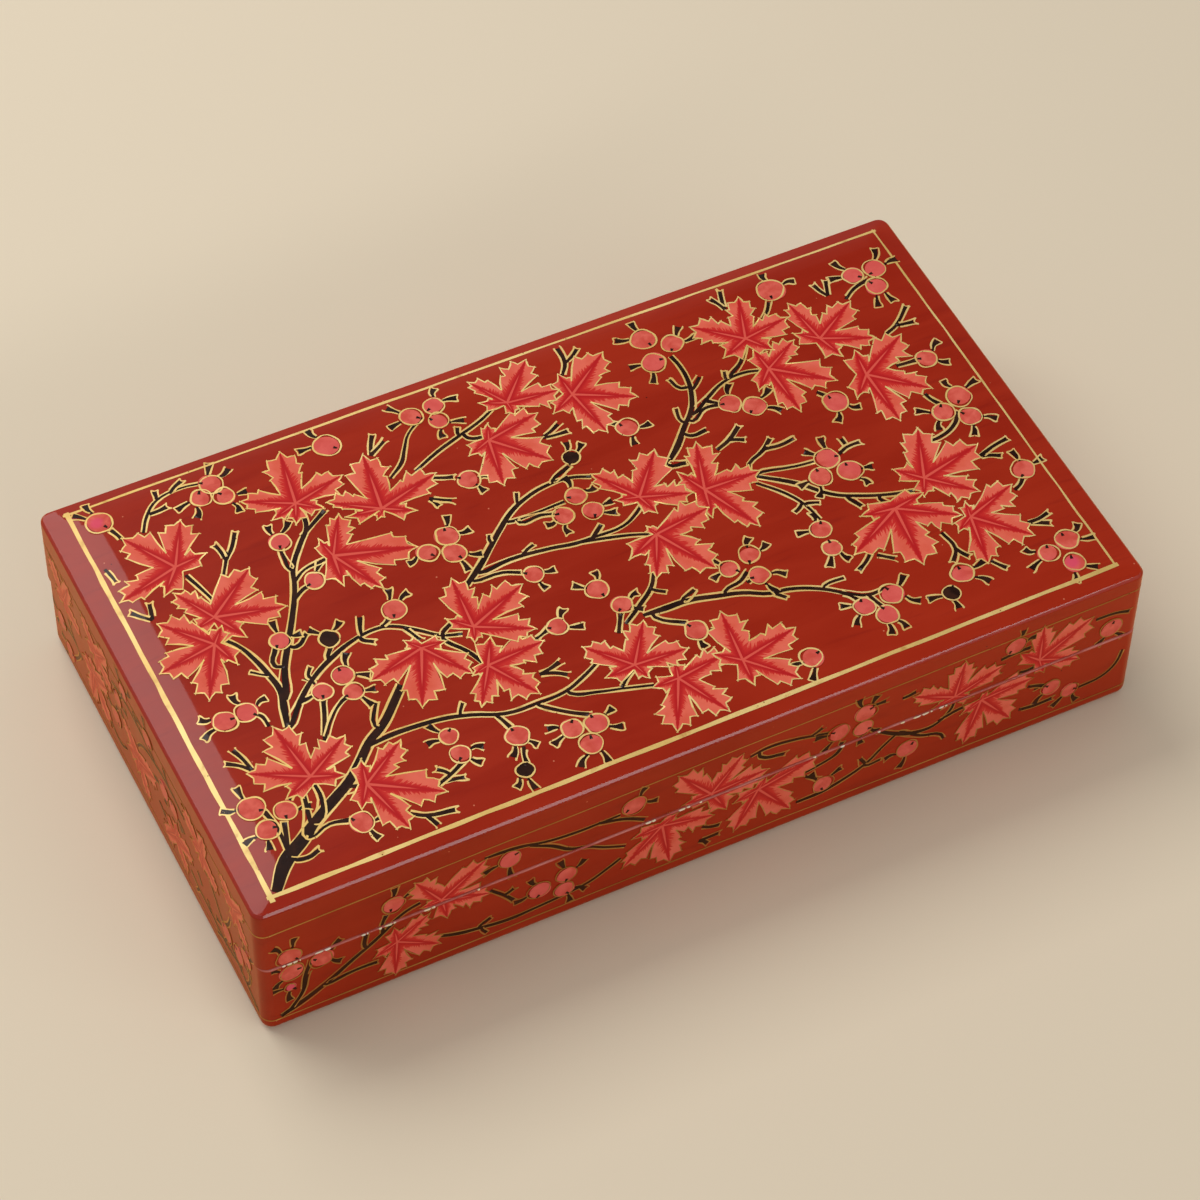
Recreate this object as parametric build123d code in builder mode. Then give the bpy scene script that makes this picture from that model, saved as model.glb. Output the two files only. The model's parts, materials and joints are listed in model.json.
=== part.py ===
"""Lidded rectangular box of papier mache on a carcass of thin wooden boards, lacquered outside.

Millimetres, +Z up, +X along the box, -Y the front. The origin is the centre of the underside.
The base and the lid are each five boards under a continuous papier mache shell. Four mitred liner
boards stand inside the base and rise past its rim, and the lid lifts off and on over them.
"""

import os

from build123d import *

# Driving dimensions of the closed box
box_length = 200.0
box_width = 114.0
box_height = 40.0
rim_height = 21.0  # top of the base's rim
lid_seat_gap = 0.1  # lacquer film between the two rims

# Papier mache shell
skin = 1.2  # paper, glue and chalk ground over the boards
rim_skin = 0.6  # the same skin where it turns in over a rim
top_skin = 1.7  # thicker on the lid's top, where the ground is built up
corner_radius = 2.5  # upright corners
top_edge_radius = 2.2
bottom_edge_radius = 2.0
rim_edge_radius = 0.4

# Carcass boards and liners
board = 3.4  # side boards
panel = 3.0  # bottom and top panels
liner = 2.2
liner_lip = 5.5  # how far the liners stand above the base's rim
liner_relief = 0.3  # shaved off the lip's outer face, so that the lid slides on
liner_edge_radius = 0.7
lining = 0.6  # velvet-faced card

# Derived sizes
carcass_length = box_length - 2 * skin
carcass_width = box_width - 2 * skin
well_length = carcass_length - 2 * board  # between the end boards
well_width = carcass_width - 2 * board
tray_length = well_length - 2 * liner  # between the liners
tray_width = well_width - 2 * liner
lid_rim = rim_height + lid_seat_gap
base_cavity_top = rim_height - rim_skin
base_floor = skin + panel
lid_cavity_bottom = lid_rim + rim_skin
lid_cavity_top = box_height - top_skin
lid_ceiling = lid_cavity_top - panel
liner_top = rim_height + liner_lip


def finish(builder, label):
    """Labels a finished piece and writes its STEP file."""
    builder.part.label = label
    export_step(builder.part, os.path.join("parts", label + ".step"))
    print(f"{label}: {len(builder.solids())} solid, {builder.part.volume / 1000:.2f} cm3")


def make_base_shell():
    """Skin round the base's walls and underside, turned in over the rim."""
    with BuildPart() as base_shell:
        with BuildSketch():
            RectangleRounded(box_length, box_width, corner_radius)
        extrude(amount=rim_height)
        fillet(base_shell.edges().group_by(Axis.Z)[0], radius=bottom_edge_radius)
        fillet(base_shell.edges().group_by(Axis.Z)[-1], radius=rim_edge_radius)
        with BuildSketch(Plane.XY.offset(skin)):
            Rectangle(carcass_length, carcass_width)
        extrude(amount=base_cavity_top - skin, mode=Mode.SUBTRACT)
        with BuildSketch(Plane.XY.offset(base_cavity_top)):
            Rectangle(well_length, well_width)
        extrude(amount=rim_skin, mode=Mode.SUBTRACT)
    finish(base_shell, "base_papier_mache_shell")


def make_lid_shell():
    """Skin over the lid's top and walls, turned in under the rim."""
    with BuildPart() as lid_shell:
        with BuildSketch(Plane.XY.offset(lid_rim)):
            RectangleRounded(box_length, box_width, corner_radius)
        extrude(amount=box_height - lid_rim)
        fillet(lid_shell.edges().group_by(Axis.Z)[-1], radius=top_edge_radius)
        fillet(lid_shell.edges().group_by(Axis.Z)[0], radius=rim_edge_radius)
        with BuildSketch(Plane.XY.offset(lid_cavity_bottom)):
            Rectangle(carcass_length, carcass_width)
        extrude(amount=lid_cavity_top - lid_cavity_bottom, mode=Mode.SUBTRACT)
        with BuildSketch(Plane.XY.offset(lid_rim)):
            Rectangle(well_length, well_width)
        extrude(amount=rim_skin, mode=Mode.SUBTRACT)
    finish(lid_shell, "lid_papier_mache_shell")


def make_panel(label, bottom):
    """Flat board over the whole carcass, with its underside at the height `bottom`."""
    with BuildPart() as flat_board:
        with BuildSketch(Plane.XY.offset(bottom)):
            Rectangle(carcass_length, carcass_width)
        extrude(amount=panel)
    finish(flat_board, label)


def make_side_boards(prefix, bottom, top):
    """Long front and back boards, and end boards butted between them."""
    along = (carcass_width - board) / 2
    across = (carcass_length - board) / 2
    places = {
        "front": (0, -along, carcass_length, board),
        "back": (0, along, carcass_length, board),
        "left": (-across, 0, board, well_width),
        "right": (across, 0, board, well_width),
    }
    for side, (x, y, length, width) in places.items():
        with BuildPart() as side_board:
            with BuildSketch(Plane.XY.offset(bottom)):
                with Locations((x, y)):
                    Rectangle(length, width)
            extrude(amount=top - bottom)
        finish(side_board, f"{prefix}_{side}_board")


def make_liners():
    """Four mitred boards inside the base. Their lips stand above the rim and locate the lid."""
    sides = {
        "front": (0, well_width, well_length),
        "right": (90, well_length, well_width),
        "back": (180, well_width, well_length),
        "left": (270, well_length, well_width),
    }
    for side, (turn, depth, span) in sides.items():
        with BuildPart() as liner_board:
            for bottom, top, outset in (
                (base_floor, rim_height, 0),
                (rim_height, liner_top, liner_relief),
            ):
                outer, inner = depth / 2 - outset, depth / 2 - liner
                long_edge, short_edge = span / 2 - outset, span / 2 - liner
                with BuildSketch(Plane.XY.offset(bottom).rotated((0, 0, turn))):
                    with BuildLine():
                        Polyline(
                            (-long_edge, -outer),
                            (long_edge, -outer),
                            (short_edge, -inner),
                            (-short_edge, -inner),
                            close=True,
                        )
                    make_face()
                extrude(amount=top - bottom)
            lip_edges = liner_board.edges().group_by(Axis.Z)[-1].sort_by(Edge.length)[-2:]
            fillet(lip_edges, radius=liner_edge_radius)
        finish(liner_board, f"liner_{side}_board")


def make_lining(label, length, width, bottom):
    """Velvet-faced card glued to a panel."""
    with BuildPart() as card:
        with BuildSketch(Plane.XY.offset(bottom)):
            Rectangle(length, width)
        extrude(amount=lining)
    finish(card, label)


def main():
    os.makedirs("parts", exist_ok=True)
    make_base_shell()
    make_panel("base_bottom_panel", skin)
    make_side_boards("base", base_floor, base_cavity_top)
    make_liners()
    make_lining("base_floor_lining", tray_length, tray_width, base_floor)
    make_lid_shell()
    make_panel("lid_top_panel", lid_ceiling)
    make_side_boards("lid", lid_cavity_bottom, lid_ceiling)
    make_lining("lid_ceiling_lining", well_length, well_width, lid_ceiling - lining)


main()
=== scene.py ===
import json
import math
import random

import bmesh
import bpy
from mathutils import Matrix, Vector
from mathutils.geometry import intersect_point_line

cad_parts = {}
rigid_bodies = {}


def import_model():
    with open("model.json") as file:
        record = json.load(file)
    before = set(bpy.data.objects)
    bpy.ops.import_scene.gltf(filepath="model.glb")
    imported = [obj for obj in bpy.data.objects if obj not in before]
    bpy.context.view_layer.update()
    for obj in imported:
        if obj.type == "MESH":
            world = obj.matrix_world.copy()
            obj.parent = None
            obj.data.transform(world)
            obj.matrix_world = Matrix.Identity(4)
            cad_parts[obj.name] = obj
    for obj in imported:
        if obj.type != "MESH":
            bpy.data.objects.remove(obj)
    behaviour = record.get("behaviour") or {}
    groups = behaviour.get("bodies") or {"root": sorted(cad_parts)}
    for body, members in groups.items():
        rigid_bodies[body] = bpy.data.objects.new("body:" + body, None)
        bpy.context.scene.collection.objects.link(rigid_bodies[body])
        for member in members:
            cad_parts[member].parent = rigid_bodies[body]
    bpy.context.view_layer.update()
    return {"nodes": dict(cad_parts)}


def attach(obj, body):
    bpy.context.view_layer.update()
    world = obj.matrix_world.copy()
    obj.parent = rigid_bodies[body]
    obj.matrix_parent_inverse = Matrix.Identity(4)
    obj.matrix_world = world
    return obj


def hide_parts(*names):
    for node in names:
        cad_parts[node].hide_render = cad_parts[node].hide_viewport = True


mm = 0.001
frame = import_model()
hand = random.Random(23)  # the painter's unsteady hand, the same on every run


def addObject(name, data):
    item = bpy.data.objects.new(name, data)
    bpy.context.scene.collection.objects.link(item)
    return item


# Camera first

camera = {
    "place": (-254.40, -498.34, 711.92),  # mm
    "turn": (38.99, -0.79, -26.294),  # degrees
    "lens": 127.41,
    "sensor": 36.0,
    "nearest": 0.01,  # m
}


def placeCamera():
    lens = bpy.data.cameras.new("studioCamera")
    lens.lens = camera["lens"]
    lens.sensor_width = camera["sensor"]
    lens.clip_start = camera["nearest"]
    eye = addObject("studioCamera", lens)
    eye.location = Vector(camera["place"]) * mm
    eye.rotation_euler = [math.radians(angle) for angle in camera["turn"]]
    bpy.context.scene.camera = eye


placeCamera()
print("camera placed")


# Shader helpers. Colours are given as sRGB, 0 to 255.

def tint(*colour):
    shares = [value / 255 for value in colour]
    return (*(share / 12.92 if share <= 0.04045 else ((share + 0.055) / 1.055) ** 2.4
              for share in shares), 1.0)


class nodeKit:
    # short calls for the nodes used below
    def __init__(self, owner):
        owner.use_nodes = True
        self.tree = owner.node_tree

    def add(self, kind, **settings):
        node = self.tree.nodes.new("ShaderNode" + kind)
        for name, value in settings.items():
            setattr(node, name, value)
        return node

    def feed(self, socket, value):
        if isinstance(value, bpy.types.NodeSocket):
            self.tree.links.new(value, socket)
        else:
            socket.default_value = value

    def sum(self, operation, *values):
        node = self.add("Math", operation=operation)
        for socket, value in zip(node.inputs, values):
            self.feed(socket, value)
        return node.outputs[0]

    def fade(self, value, low, high, toLow=0.0, toHigh=1.0):
        node = self.add("MapRange", interpolation_type="SMOOTHSTEP")
        for socket, entry in zip(node.inputs, (value, low, high, toLow, toHigh)):
            self.feed(socket, entry)
        return node.outputs[0]

    def blend(self, amount, *colours):
        node = self.add("Mix", data_type="RGBA")
        self.feed(node.inputs[0], amount)
        for socket, colour in zip((node.inputs[6], node.inputs[7]), colours):
            self.feed(socket, tint(*colour) if isinstance(colour, tuple) else colour)
        return node.outputs[2]

    def lay(self, under, over, source, low, high, most=1.0):
        # the second colour covers the first where the source rises from low to high
        return self.blend(self.fade(source, low, high, 0.0, most), under, over)

    def coords(self, kind="Object"):
        return self.add("TexCoord").outputs[kind]

    def split(self, vector):
        node = self.add("SeparateXYZ")
        self.feed(node.inputs[0], vector)
        return node.outputs

    def grain(self, scale, stretch=(1, 1, 1), detail=3.0, distort=0.0, source=None):
        mapping = self.add("Mapping")
        self.feed(mapping.inputs[0], source or self.coords())
        mapping.inputs["Scale"].default_value = stretch
        noise = self.add("TexNoise")
        self.feed(noise.inputs["Vector"], mapping.outputs[0])
        for name, value in (("Scale", scale), ("Detail", detail), ("Distortion", distort)):
            noise.inputs[name].default_value = value
        return noise.outputs[0]

    def dots(self, scale, size, share):
        # small round specks, one in some cells: how many cells is the share
        cells = self.add("TexVoronoi")
        self.feed(cells.inputs["Vector"], self.coords())
        cells.inputs["Scale"].default_value = scale
        cells.inputs["Randomness"].default_value = 1.0
        pick = self.add("SeparateColor")
        self.feed(pick.inputs[0], cells.outputs["Color"])
        near = self.fade(cells.outputs["Distance"], size, size * 0.6)
        return self.sum("MULTIPLY", near, self.sum("LESS_THAN", pick.outputs[0], share))


class finishRecipe(nodeKit):
    # one material
    def __init__(self, name):
        self.material = bpy.data.materials.new(name)
        super().__init__(self.material)
        self.shader = self.tree.nodes["Principled BSDF"]

    def relief(self, height, depth):
        bump = self.add("Bump")
        bump.inputs["Strength"].default_value = 1.0
        bump.inputs["Distance"].default_value = depth
        self.feed(bump.inputs["Height"], height)
        self.feed(self.shader.inputs["Normal"], bump.outputs[0])
        return bump.outputs[0]

    def set(self, **values):
        for name, value in values.items():
            self.feed(self.shader.inputs[name.replace("_", " ")], value)


varnish = {  # every painted surface lies under the same clear lacquer
    "coat": 0.56,
    "coatRoughness": 0.035,
    "coatIor": 1.37,
    "undercoatGloss": 0.08,
    "ripples": (26, 110),  # broad and fine
    "fineShare": 0.24,
    "rippleHeight": 0.00005,  # m
}


def varnished(recipe, undercoat, coat=varnish["coat"]):
    recipe.set(Coat_Weight=coat, Coat_Roughness=varnish["coatRoughness"],
               Coat_IOR=varnish["coatIor"], Roughness=undercoat,
               Specular_IOR_Level=varnish["undercoatGloss"])
    broad, fine = (recipe.grain(scale, detail=detail)
                   for scale, detail in zip(varnish["ripples"], (1.0, 1.5)))
    ripple = recipe.sum("MULTIPLY_ADD", fine, varnish["fineShare"], broad)
    recipe.set(Coat_Normal=recipe.relief(ripple, varnish["rippleHeight"]))
    return recipe.material


redLacquer = {
    "deep": (149, 30, 7),
    "plain": (162, 38, 11),
    "cloud": (170, 44, 16),
    "streak": (126, 18, 7),
    "rimHighlight": (205, 122, 112),  # painted highlight along the base's rounded rim
    "rimRise": (0.02052, 0.0207),  # heights between which the painted highlight sets in, and ends again
    "rimFall": (0.02106, 0.02098),
    "paleDust": (206, 116, 84),
    "darkDust": (64, 12, 8),
}


def makeRedLacquer():
    recipe = finishRecipe("redLacquer")
    brushed = recipe.grain(28, stretch=(1, 4.5, 2.5), detail=5, distort=0.6)
    ground = recipe.lay(redLacquer["deep"], redLacquer["plain"], brushed, 0.25, 0.75)
    ground = recipe.lay(ground, redLacquer["cloud"], recipe.grain(14), 0.42, 0.75, 0.7)
    streaks = recipe.grain(70, stretch=(1, 9, 5), detail=4, distort=0.3)
    ground = recipe.lay(ground, redLacquer["streak"], streaks, 0.56, 0.78, 0.35)
    # painted highlight: the base's rounded rim is coloured paler, broken up by noise
    height = recipe.split(recipe.coords())[2]
    rim = recipe.sum("MULTIPLY", recipe.fade(height, *redLacquer["rimRise"]),
                     recipe.fade(height, *redLacquer["rimFall"]))
    rimHighlight = recipe.fade(recipe.grain(130, detail=5), 0.34, 0.62, 0.25, 0.85)
    ground = recipe.blend(recipe.sum("MULTIPLY", rim, rimHighlight), ground, redLacquer["rimHighlight"])
    # dust under the lacquer
    ground = recipe.blend(recipe.dots(170, 0.036, 0.75), ground, redLacquer["paleDust"])
    ground = recipe.blend(recipe.dots(150, 0.03, 0.4), ground, redLacquer["darkDust"])
    recipe.set(Base_Color=ground)
    return varnished(recipe, recipe.fade(brushed, 0.2, 0.8, 0.28, 0.4))


leafPaint = {
    "body": ((220, 90, 68), (230, 106, 84)),  # salmon, a little uneven
    "edge": (234, 116, 97),  # paler towards the teeth
    "feather": (201, 36, 33),
    "hub": (196, 34, 32),
    "stroke": (182, 22, 26),
    "vein": (226, 92, 76),
    "hairSlant": 0.9,
    "hairs": (34.0, 2.6),  # how fine they are across and along
    # half-widths from the hub to the tip: place, half-width
    "featherForm": ((0.0, 0.17), (0.12, 0.17), (0.3, 0.15), (0.48, 0.11), (0.66, 0.068),
                    (0.84, 0.03), (1.0, 0.0)),
    "strokeForm": ((0.0, 0.085), (0.4, 0.072), (0.75, 0.036), (1.0, 0.012)),
    "veinForm": ((0.0, 0.022), (0.3, 0.018), (0.6, 0.007), (1.0, 0.004)),
    "finest": 0.004,
}


def makeLeafPaint():
    # UV "vein": u from the hub to the lobe's tip, v across it. UV "bristles" is one point for
    # each lobe, which gives it hairs of its own.
    recipe = finishRecipe("leafPaint")
    vein, start = (recipe.split(recipe.add("UVMap", uv_map=name).outputs[0])
                   for name in ("vein", "bristles"))
    along, across = vein[0], recipe.sum("ABSOLUTE", vein[1])
    # hairs lie slantwise, outwards and towards the tip
    slant = recipe.sum("MULTIPLY_ADD", across, -leafPaint["hairSlant"], along)
    length = recipe.sum("ADD", along, across)
    place = recipe.add("CombineXYZ")
    for number, value in enumerate((slant, length)):
        recipe.feed(place.inputs[number], recipe.sum(
            "MULTIPLY_ADD", value, leafPaint["hairs"][number], start[number]))
    hairs = recipe.grain(1.0, detail=2.0, source=place.outputs[0])
    patches = recipe.grain(260)
    body = recipe.lay(*leafPaint["body"], patches, 0.3, 0.7)
    body = recipe.lay(body, leafPaint["edge"], across, 0.1, 0.3, 0.5)

    def within(form):
        # how far a point lies from the lobe's middle, against the width there
        taper = recipe.add("FloatCurve")
        recipe.feed(taper.inputs["Value"], along)
        curve = taper.mapping.curves[0]
        curve.points[0].location = form[0]
        curve.points[1].location = form[-1]
        for spot in form[1:-1]:
            curve.points.new(*spot)
        taper.mapping.update()
        return recipe.sum("DIVIDE", across,
                          recipe.sum("MAXIMUM", taper.outputs[0], leafPaint["finest"]))

    # hairs feathered out from the vein, broad near the hub, and a stroke to the tip
    ragged = recipe.sum("MULTIPLY_ADD", recipe.sum("SUBTRACT", hairs, 0.5), 2.5,
                        within(leafPaint["featherForm"]))
    painted = recipe.lay(body, leafPaint["feather"], recipe.fade(ragged, 1.1, 0.72), 0, 1, 0.92)
    hub = recipe.fade(recipe.sum("MULTIPLY_ADD", hairs, 0.2, along), 0.36, 0.2)
    painted = recipe.blend(recipe.sum("MULTIPLY", hub, 0.85), painted, leafPaint["hub"])
    stroke = recipe.fade(within(leafPaint["strokeForm"]), 1.3, 0.4)
    painted = recipe.blend(recipe.sum("MULTIPLY", stroke, 0.9), painted, leafPaint["stroke"])
    # pale vein over the stroke's inner half
    line = recipe.sum("MULTIPLY", recipe.fade(within(leafPaint["veinForm"]), 1.1, 0.7),
                      recipe.fade(along, 0.68, 0.5))
    painted = recipe.blend(recipe.sum("MULTIPLY", line, 0.85), painted, leafPaint["vein"])
    recipe.set(Base_Color=painted)
    return varnished(recipe, recipe.fade(patches, 0.3, 0.7, 0.36, 0.5))


berryPaint = {
    "body": ((205, 76, 62), (226, 104, 88)),
    "second": (221, 90, 86),  # some berries are a touch pinker
    "touchedUp": (222, 74, 104),
    "touches": ((0.0868, -0.0478, 0.04), (-0.0897, 0.0487, 0.04), (-0.0936, -0.0568, 0.0126)),
    "touchSize": (0.0026, 0.0014),
}


def makeBerryPaint():
    recipe = finishRecipe("berryPaint")
    patches = recipe.grain(420, distort=0.4)
    body = recipe.lay(*berryPaint["body"], patches, 0.3, 0.75)
    body = recipe.lay(body, berryPaint["second"], recipe.grain(60, detail=0), 0.5, 0.62, 0.6)
    for spot in berryPaint["touches"]:
        gap = recipe.add("VectorMath", operation="DISTANCE")
        recipe.feed(gap.inputs[0], recipe.coords())
        gap.inputs[1].default_value = spot
        reach = recipe.sum("MULTIPLY_ADD", patches, 0.0012, gap.outputs["Value"])
        body = recipe.lay(body, berryPaint["touchedUp"], reach, *berryPaint["touchSize"], 0.8)
    recipe.set(Base_Color=body)
    return varnished(recipe, recipe.fade(patches, 0.3, 0.7, 0.36, 0.5))


def makeDarkPaint():
    recipe = finishRecipe("darkPaint")
    strokes = recipe.grain(240, detail=4, distort=0.5)
    recipe.set(Base_Color=recipe.lay((34, 14, 7), (60, 28, 13), strokes, 0.35, 0.8))
    return varnished(recipe, recipe.fade(strokes, 0.3, 0.7, 0.3, 0.45), coat=0.4)


golds = {
    # dull, bright and worn places, and how metallic
    "goldPaint": ((222, 184, 106), (240, 210, 138), (184, 128, 62), 0.45),
    # the same gold paint, darkened as painted shade for the sides
    "shadedGoldPaint": ((166, 122, 56), (198, 156, 84), (134, 84, 34), 0.7),
}
rubbedOff = (112, 66, 30)  # specks where the gold is gone


def makeGoldPaint(name):
    dull, bright, worn, metallic = golds[name]
    recipe = finishRecipe(name)
    wear = recipe.grain(300, detail=5)
    gold = recipe.lay(dull, bright, recipe.grain(45, detail=2), 0.3, 0.7)
    gold = recipe.lay(gold, worn, wear, 0.55, 0.8, 0.7)
    gold = recipe.blend(recipe.dots(700, 0.13, 0.3), gold, rubbedOff)
    recipe.set(Base_Color=gold, Metallic=metallic)
    return varnished(recipe, recipe.fade(wear, 0.3, 0.8, 0.44, 0.6), coat=0.3)


def makeFleckPaint():
    # pale gold, whitened further as a painted highlight on the flecks
    recipe = finishRecipe("seamFleckGlint")
    wear = recipe.grain(600, detail=4)
    recipe.set(Base_Color=recipe.lay((250, 232, 182), (255, 251, 238), wear, 0.35, 0.7),
               Metallic=0.0, Roughness=recipe.fade(wear, 0.3, 0.7, 0.2, 0.35))
    return recipe.material


def makeBlackGround():
    recipe = finishRecipe("blackGround")
    worn = recipe.grain(70, detail=6)
    black = recipe.lay((26, 21, 20), (40, 33, 30), worn, 0.35, 0.75)
    scuffs = recipe.grain(160, stretch=(1, 6, 1), detail=4)
    recipe.set(Base_Color=recipe.lay(black, (62, 52, 47), scuffs, 0.62, 0.8),
               Roughness=recipe.fade(worn, 0.3, 0.8, 0.34, 0.58))
    recipe.relief(recipe.grain(420, detail=4), 0.00002)
    return recipe.material


poplar = {
    "wood": ((196, 160, 112), (222, 192, 146)),
    "fibre": (168, 128, 84),
    "inside": (0.09541, 0.05241),  # painted black wherever it faces the inside of the lid, m
    "black": ((24, 20, 19), (40, 33, 30)),
    "fibreDepth": 0.00004,
}


def makePoplar():
    recipe = finishRecipe("poplarBoard")
    rings = recipe.grain(60, stretch=(1, 9, 9), detail=4, distort=1.2)
    fibres = recipe.grain(420, stretch=(0.6, 8, 8))
    wood = recipe.lay(*poplar["wood"], rings, 0.3, 0.7)
    wood = recipe.lay(wood, poplar["fibre"], fibres, 0.5, 0.8, 0.45)
    place = recipe.split(recipe.coords())
    inside = [recipe.sum("LESS_THAN", recipe.sum("ABSOLUTE", place[axis]), poplar["inside"][axis])
              for axis in (0, 1)]
    worn = recipe.fade(recipe.grain(90, detail=5), 0.3, 0.75)
    recipe.set(Base_Color=recipe.blend(recipe.sum("MULTIPLY", *inside), wood,
                                       recipe.blend(worn, *poplar["black"])),
               Roughness=recipe.fade(worn, 0.0, 1.0, 0.36, 0.55))
    recipe.relief(fibres, poplar["fibreDepth"])
    return recipe.material


def makeLinerLacquer():
    recipe = finishRecipe("linerLacquer")
    worn = recipe.grain(80, detail=5)
    black = recipe.lay((22, 18, 18), (36, 30, 28), worn, 0.3, 0.75)
    streaks = recipe.grain(200, stretch=(1, 1, 7))
    recipe.set(Base_Color=recipe.lay(black, (54, 46, 42), streaks, 0.6, 0.85), Coat_Weight=0.6,
               Roughness=recipe.fade(worn, 0.3, 0.8, 0.2, 0.38), Coat_Roughness=0.08)
    recipe.relief(worn, 0.00003)
    return recipe.material


def makeVelvet():
    recipe = finishRecipe("blackVelvet")
    nap = recipe.grain(1500, detail=4)
    brushedNap = recipe.grain(35, detail=2, distort=0.8)
    cloth = recipe.lay((20, 17, 20), (38, 33, 37), brushedNap, 0.35, 0.7)
    recipe.set(Base_Color=recipe.lay(cloth, (58, 52, 56), nap, 0.5, 0.8, 0.6), Sheen_Weight=0.5,
               Roughness=recipe.fade(nap, 0.3, 0.7, 0.85, 1.0), Sheen_Roughness=0.4)
    recipe.relief(nap, 0.00012)
    return recipe.material


finish = {
    "red": makeRedLacquer(),
    "ground": makeBlackGround(),
    "leaf": makeLeafPaint(),
    "berry": makeBerryPaint(),
    "dark": makeDarkPaint(),
    "gold": makeGoldPaint("goldPaint"),
    # gold of the sides, the top's gold with painted shade
    "sideGoldShaded": makeGoldPaint("shadedGoldPaint"),
    "fleck": makeFleckPaint(),
    "poplar": makePoplar(),
    "liner": makeLinerLacquer(),
    "velvet": makeVelvet(),
}
print("finishes mixed:", len(finish))


# Papier mache skins, in millimetres

skins = {
    "lidHalf": (99.75, 56.6),
    "baseHalf": (99.55, 56.5),
    "lidShift": (0, 0),  # the two halves never sit quite square
    "baseShift": (0.1, -0.3),
    "cavityHalf": (98.8, 55.8),  # round the carcass of boards
    "mouthHalf": (95.4, 52.4),  # the skin turns in this far over a rim
    "rim": 21.0,
    "lidRim": 21.1,
    "rimSkin": 0.6,
    "top": 39.74,  # height of the lid's crown
    "crownDrop": 0.42,
    "crownReach": 8.0,
    "crownRings": 5,
    "cornerCuts": (4.6, 7.4, 10.8),  # they keep the shading of each corner in its corner
    "shoulder": 2.4,  # last ring, which the edge's bevel uses up
    "cornerRadius": 2.5,
    "easing": 0.55,  # flat rubbed along the lid's top edge, and the rounding on each side of it
    "easingRound": 0.2,
    "bottomRadius": 2.0,
    "lidRimRadius": 0.25,
    "baseRimRadius": 0.45,
    "baseInside": 1.2,
    "lidInside": 38.3,
    "crease": math.radians(35),  # sharper edges are shaded crisp
}


def crownHeight(x, y):
    # height of the lid's top: flat in the middle, falling away towards its edges
    halfX, halfY = skins["lidHalf"]
    inward = min(halfX - abs(x), halfY - abs(y)) - skins["shoulder"]
    if inward < 0:
        slope = 2 * skins["crownDrop"] / skins["crownReach"]
        return skins["top"] - skins["crownDrop"] + slope * inward
    part = max(0.0, 1 - inward / skins["crownReach"])
    return skins["top"] - skins["crownDrop"] * part * part


def block(half, bottom, top, shift):
    bm = bmesh.new()
    bmesh.ops.create_cube(bm, size=2)
    for corner in bm.verts:
        x, y, z = corner.co
        corner.co = (x * half[0] + shift[0], y * half[1] + shift[1], top if z > 0 else bottom)
    return bm


def levelFace(bm, upwards):
    # the face that looks straight up or down
    up = Vector((0, 0, upwards))
    return max(bm.faces, key=lambda face: face.normal.dot(up) * 1000 + face.calc_area())


def pushFace(bm, face, half, z):
    # extrudes a four-cornered face and sets its corners on a rectangle at height z
    face = bmesh.ops.extrude_discrete_faces(bm, faces=[face])["faces"][0]
    for corner in face.verts:
        corner.co = (math.copysign(half[0], corner.co.x), math.copysign(half[1], corner.co.y), z)
    return face


def hollow(bm, face, rim, turnedIn, inside):
    # the rim, the skin turned in over it, and the room for the boards
    for half, z in (("mouthHalf", rim), ("mouthHalf", turnedIn), ("cavityHalf", turnedIn),
                    ("cavityHalf", inside)):
        face = pushFace(bm, face, skins[half], z)


def bevelEdges(bm, edges, radius, segments):
    bmesh.ops.bevel(bm, geom=edges, offset=radius, segments=segments, affect="EDGES",
                    profile=0.5, material=-1, clamp_overlap=False)


def rimEdges(bm, height, mouth):
    # the outer perimeter at a rim: both ends at that height and outside the mouth
    found = []
    for edge in bm.edges:
        ends = [end.co for end in edge.verts]
        outside = all(abs(end.x) > mouth[0] + 1 or abs(end.y) > mouth[1] + 1 for end in ends)
        level = all(abs(end.z - height) < 0.001 for end in ends)
        if outside and level and any(abs(face.normal.z) < 0.5 for face in edge.link_faces):
            found.append(edge)
    return found


def risen(edge):
    return abs(edge.verts[0].co.z - edge.verts[1].co.z)


def sliced(bm, place, direction, tolerance, keepAll=True):
    bmesh.ops.bisect_plane(bm, geom=bm.verts[:] + bm.edges[:] + bm.faces[:], dist=tolerance,
                           plane_co=place, plane_no=direction, clear_outer=not keepAll)


def shaded(bm):
    # smooth, with its sharp edges crisp
    for face in bm.faces:
        face.smooth = True
    for edge in bm.edges:
        edge.smooth = edge.calc_face_angle(0) < skins["crease"]


def addPiece(name, bm, body, *materials):
    mesh = bpy.data.meshes.new(name)
    bm.to_mesh(mesh)
    bm.free()
    for material in materials:
        mesh.materials.append(finish[material])
    piece = addObject(name, mesh)
    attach(piece, body)
    return piece


def finishSkin(bm, name, body, node, isBlack):
    bmesh.ops.recalc_face_normals(bm, faces=bm.faces[:])
    if bm.calc_volume(signed=True) < 0:
        bmesh.ops.reverse_faces(bm, faces=bm.faces[:])
    shaded(bm)
    for face in bm.faces:
        face.material_index = int(isBlack(face))
    bmesh.ops.scale(bm, vec=(mm, mm, mm), verts=bm.verts[:])
    piece = addPiece(name, bm, body, "red", "ground")
    weighted = piece.modifiers.new("evenShading", "WEIGHTED_NORMAL")
    weighted.keep_sharp = True
    weighted.weight = 100
    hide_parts(node)


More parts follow.
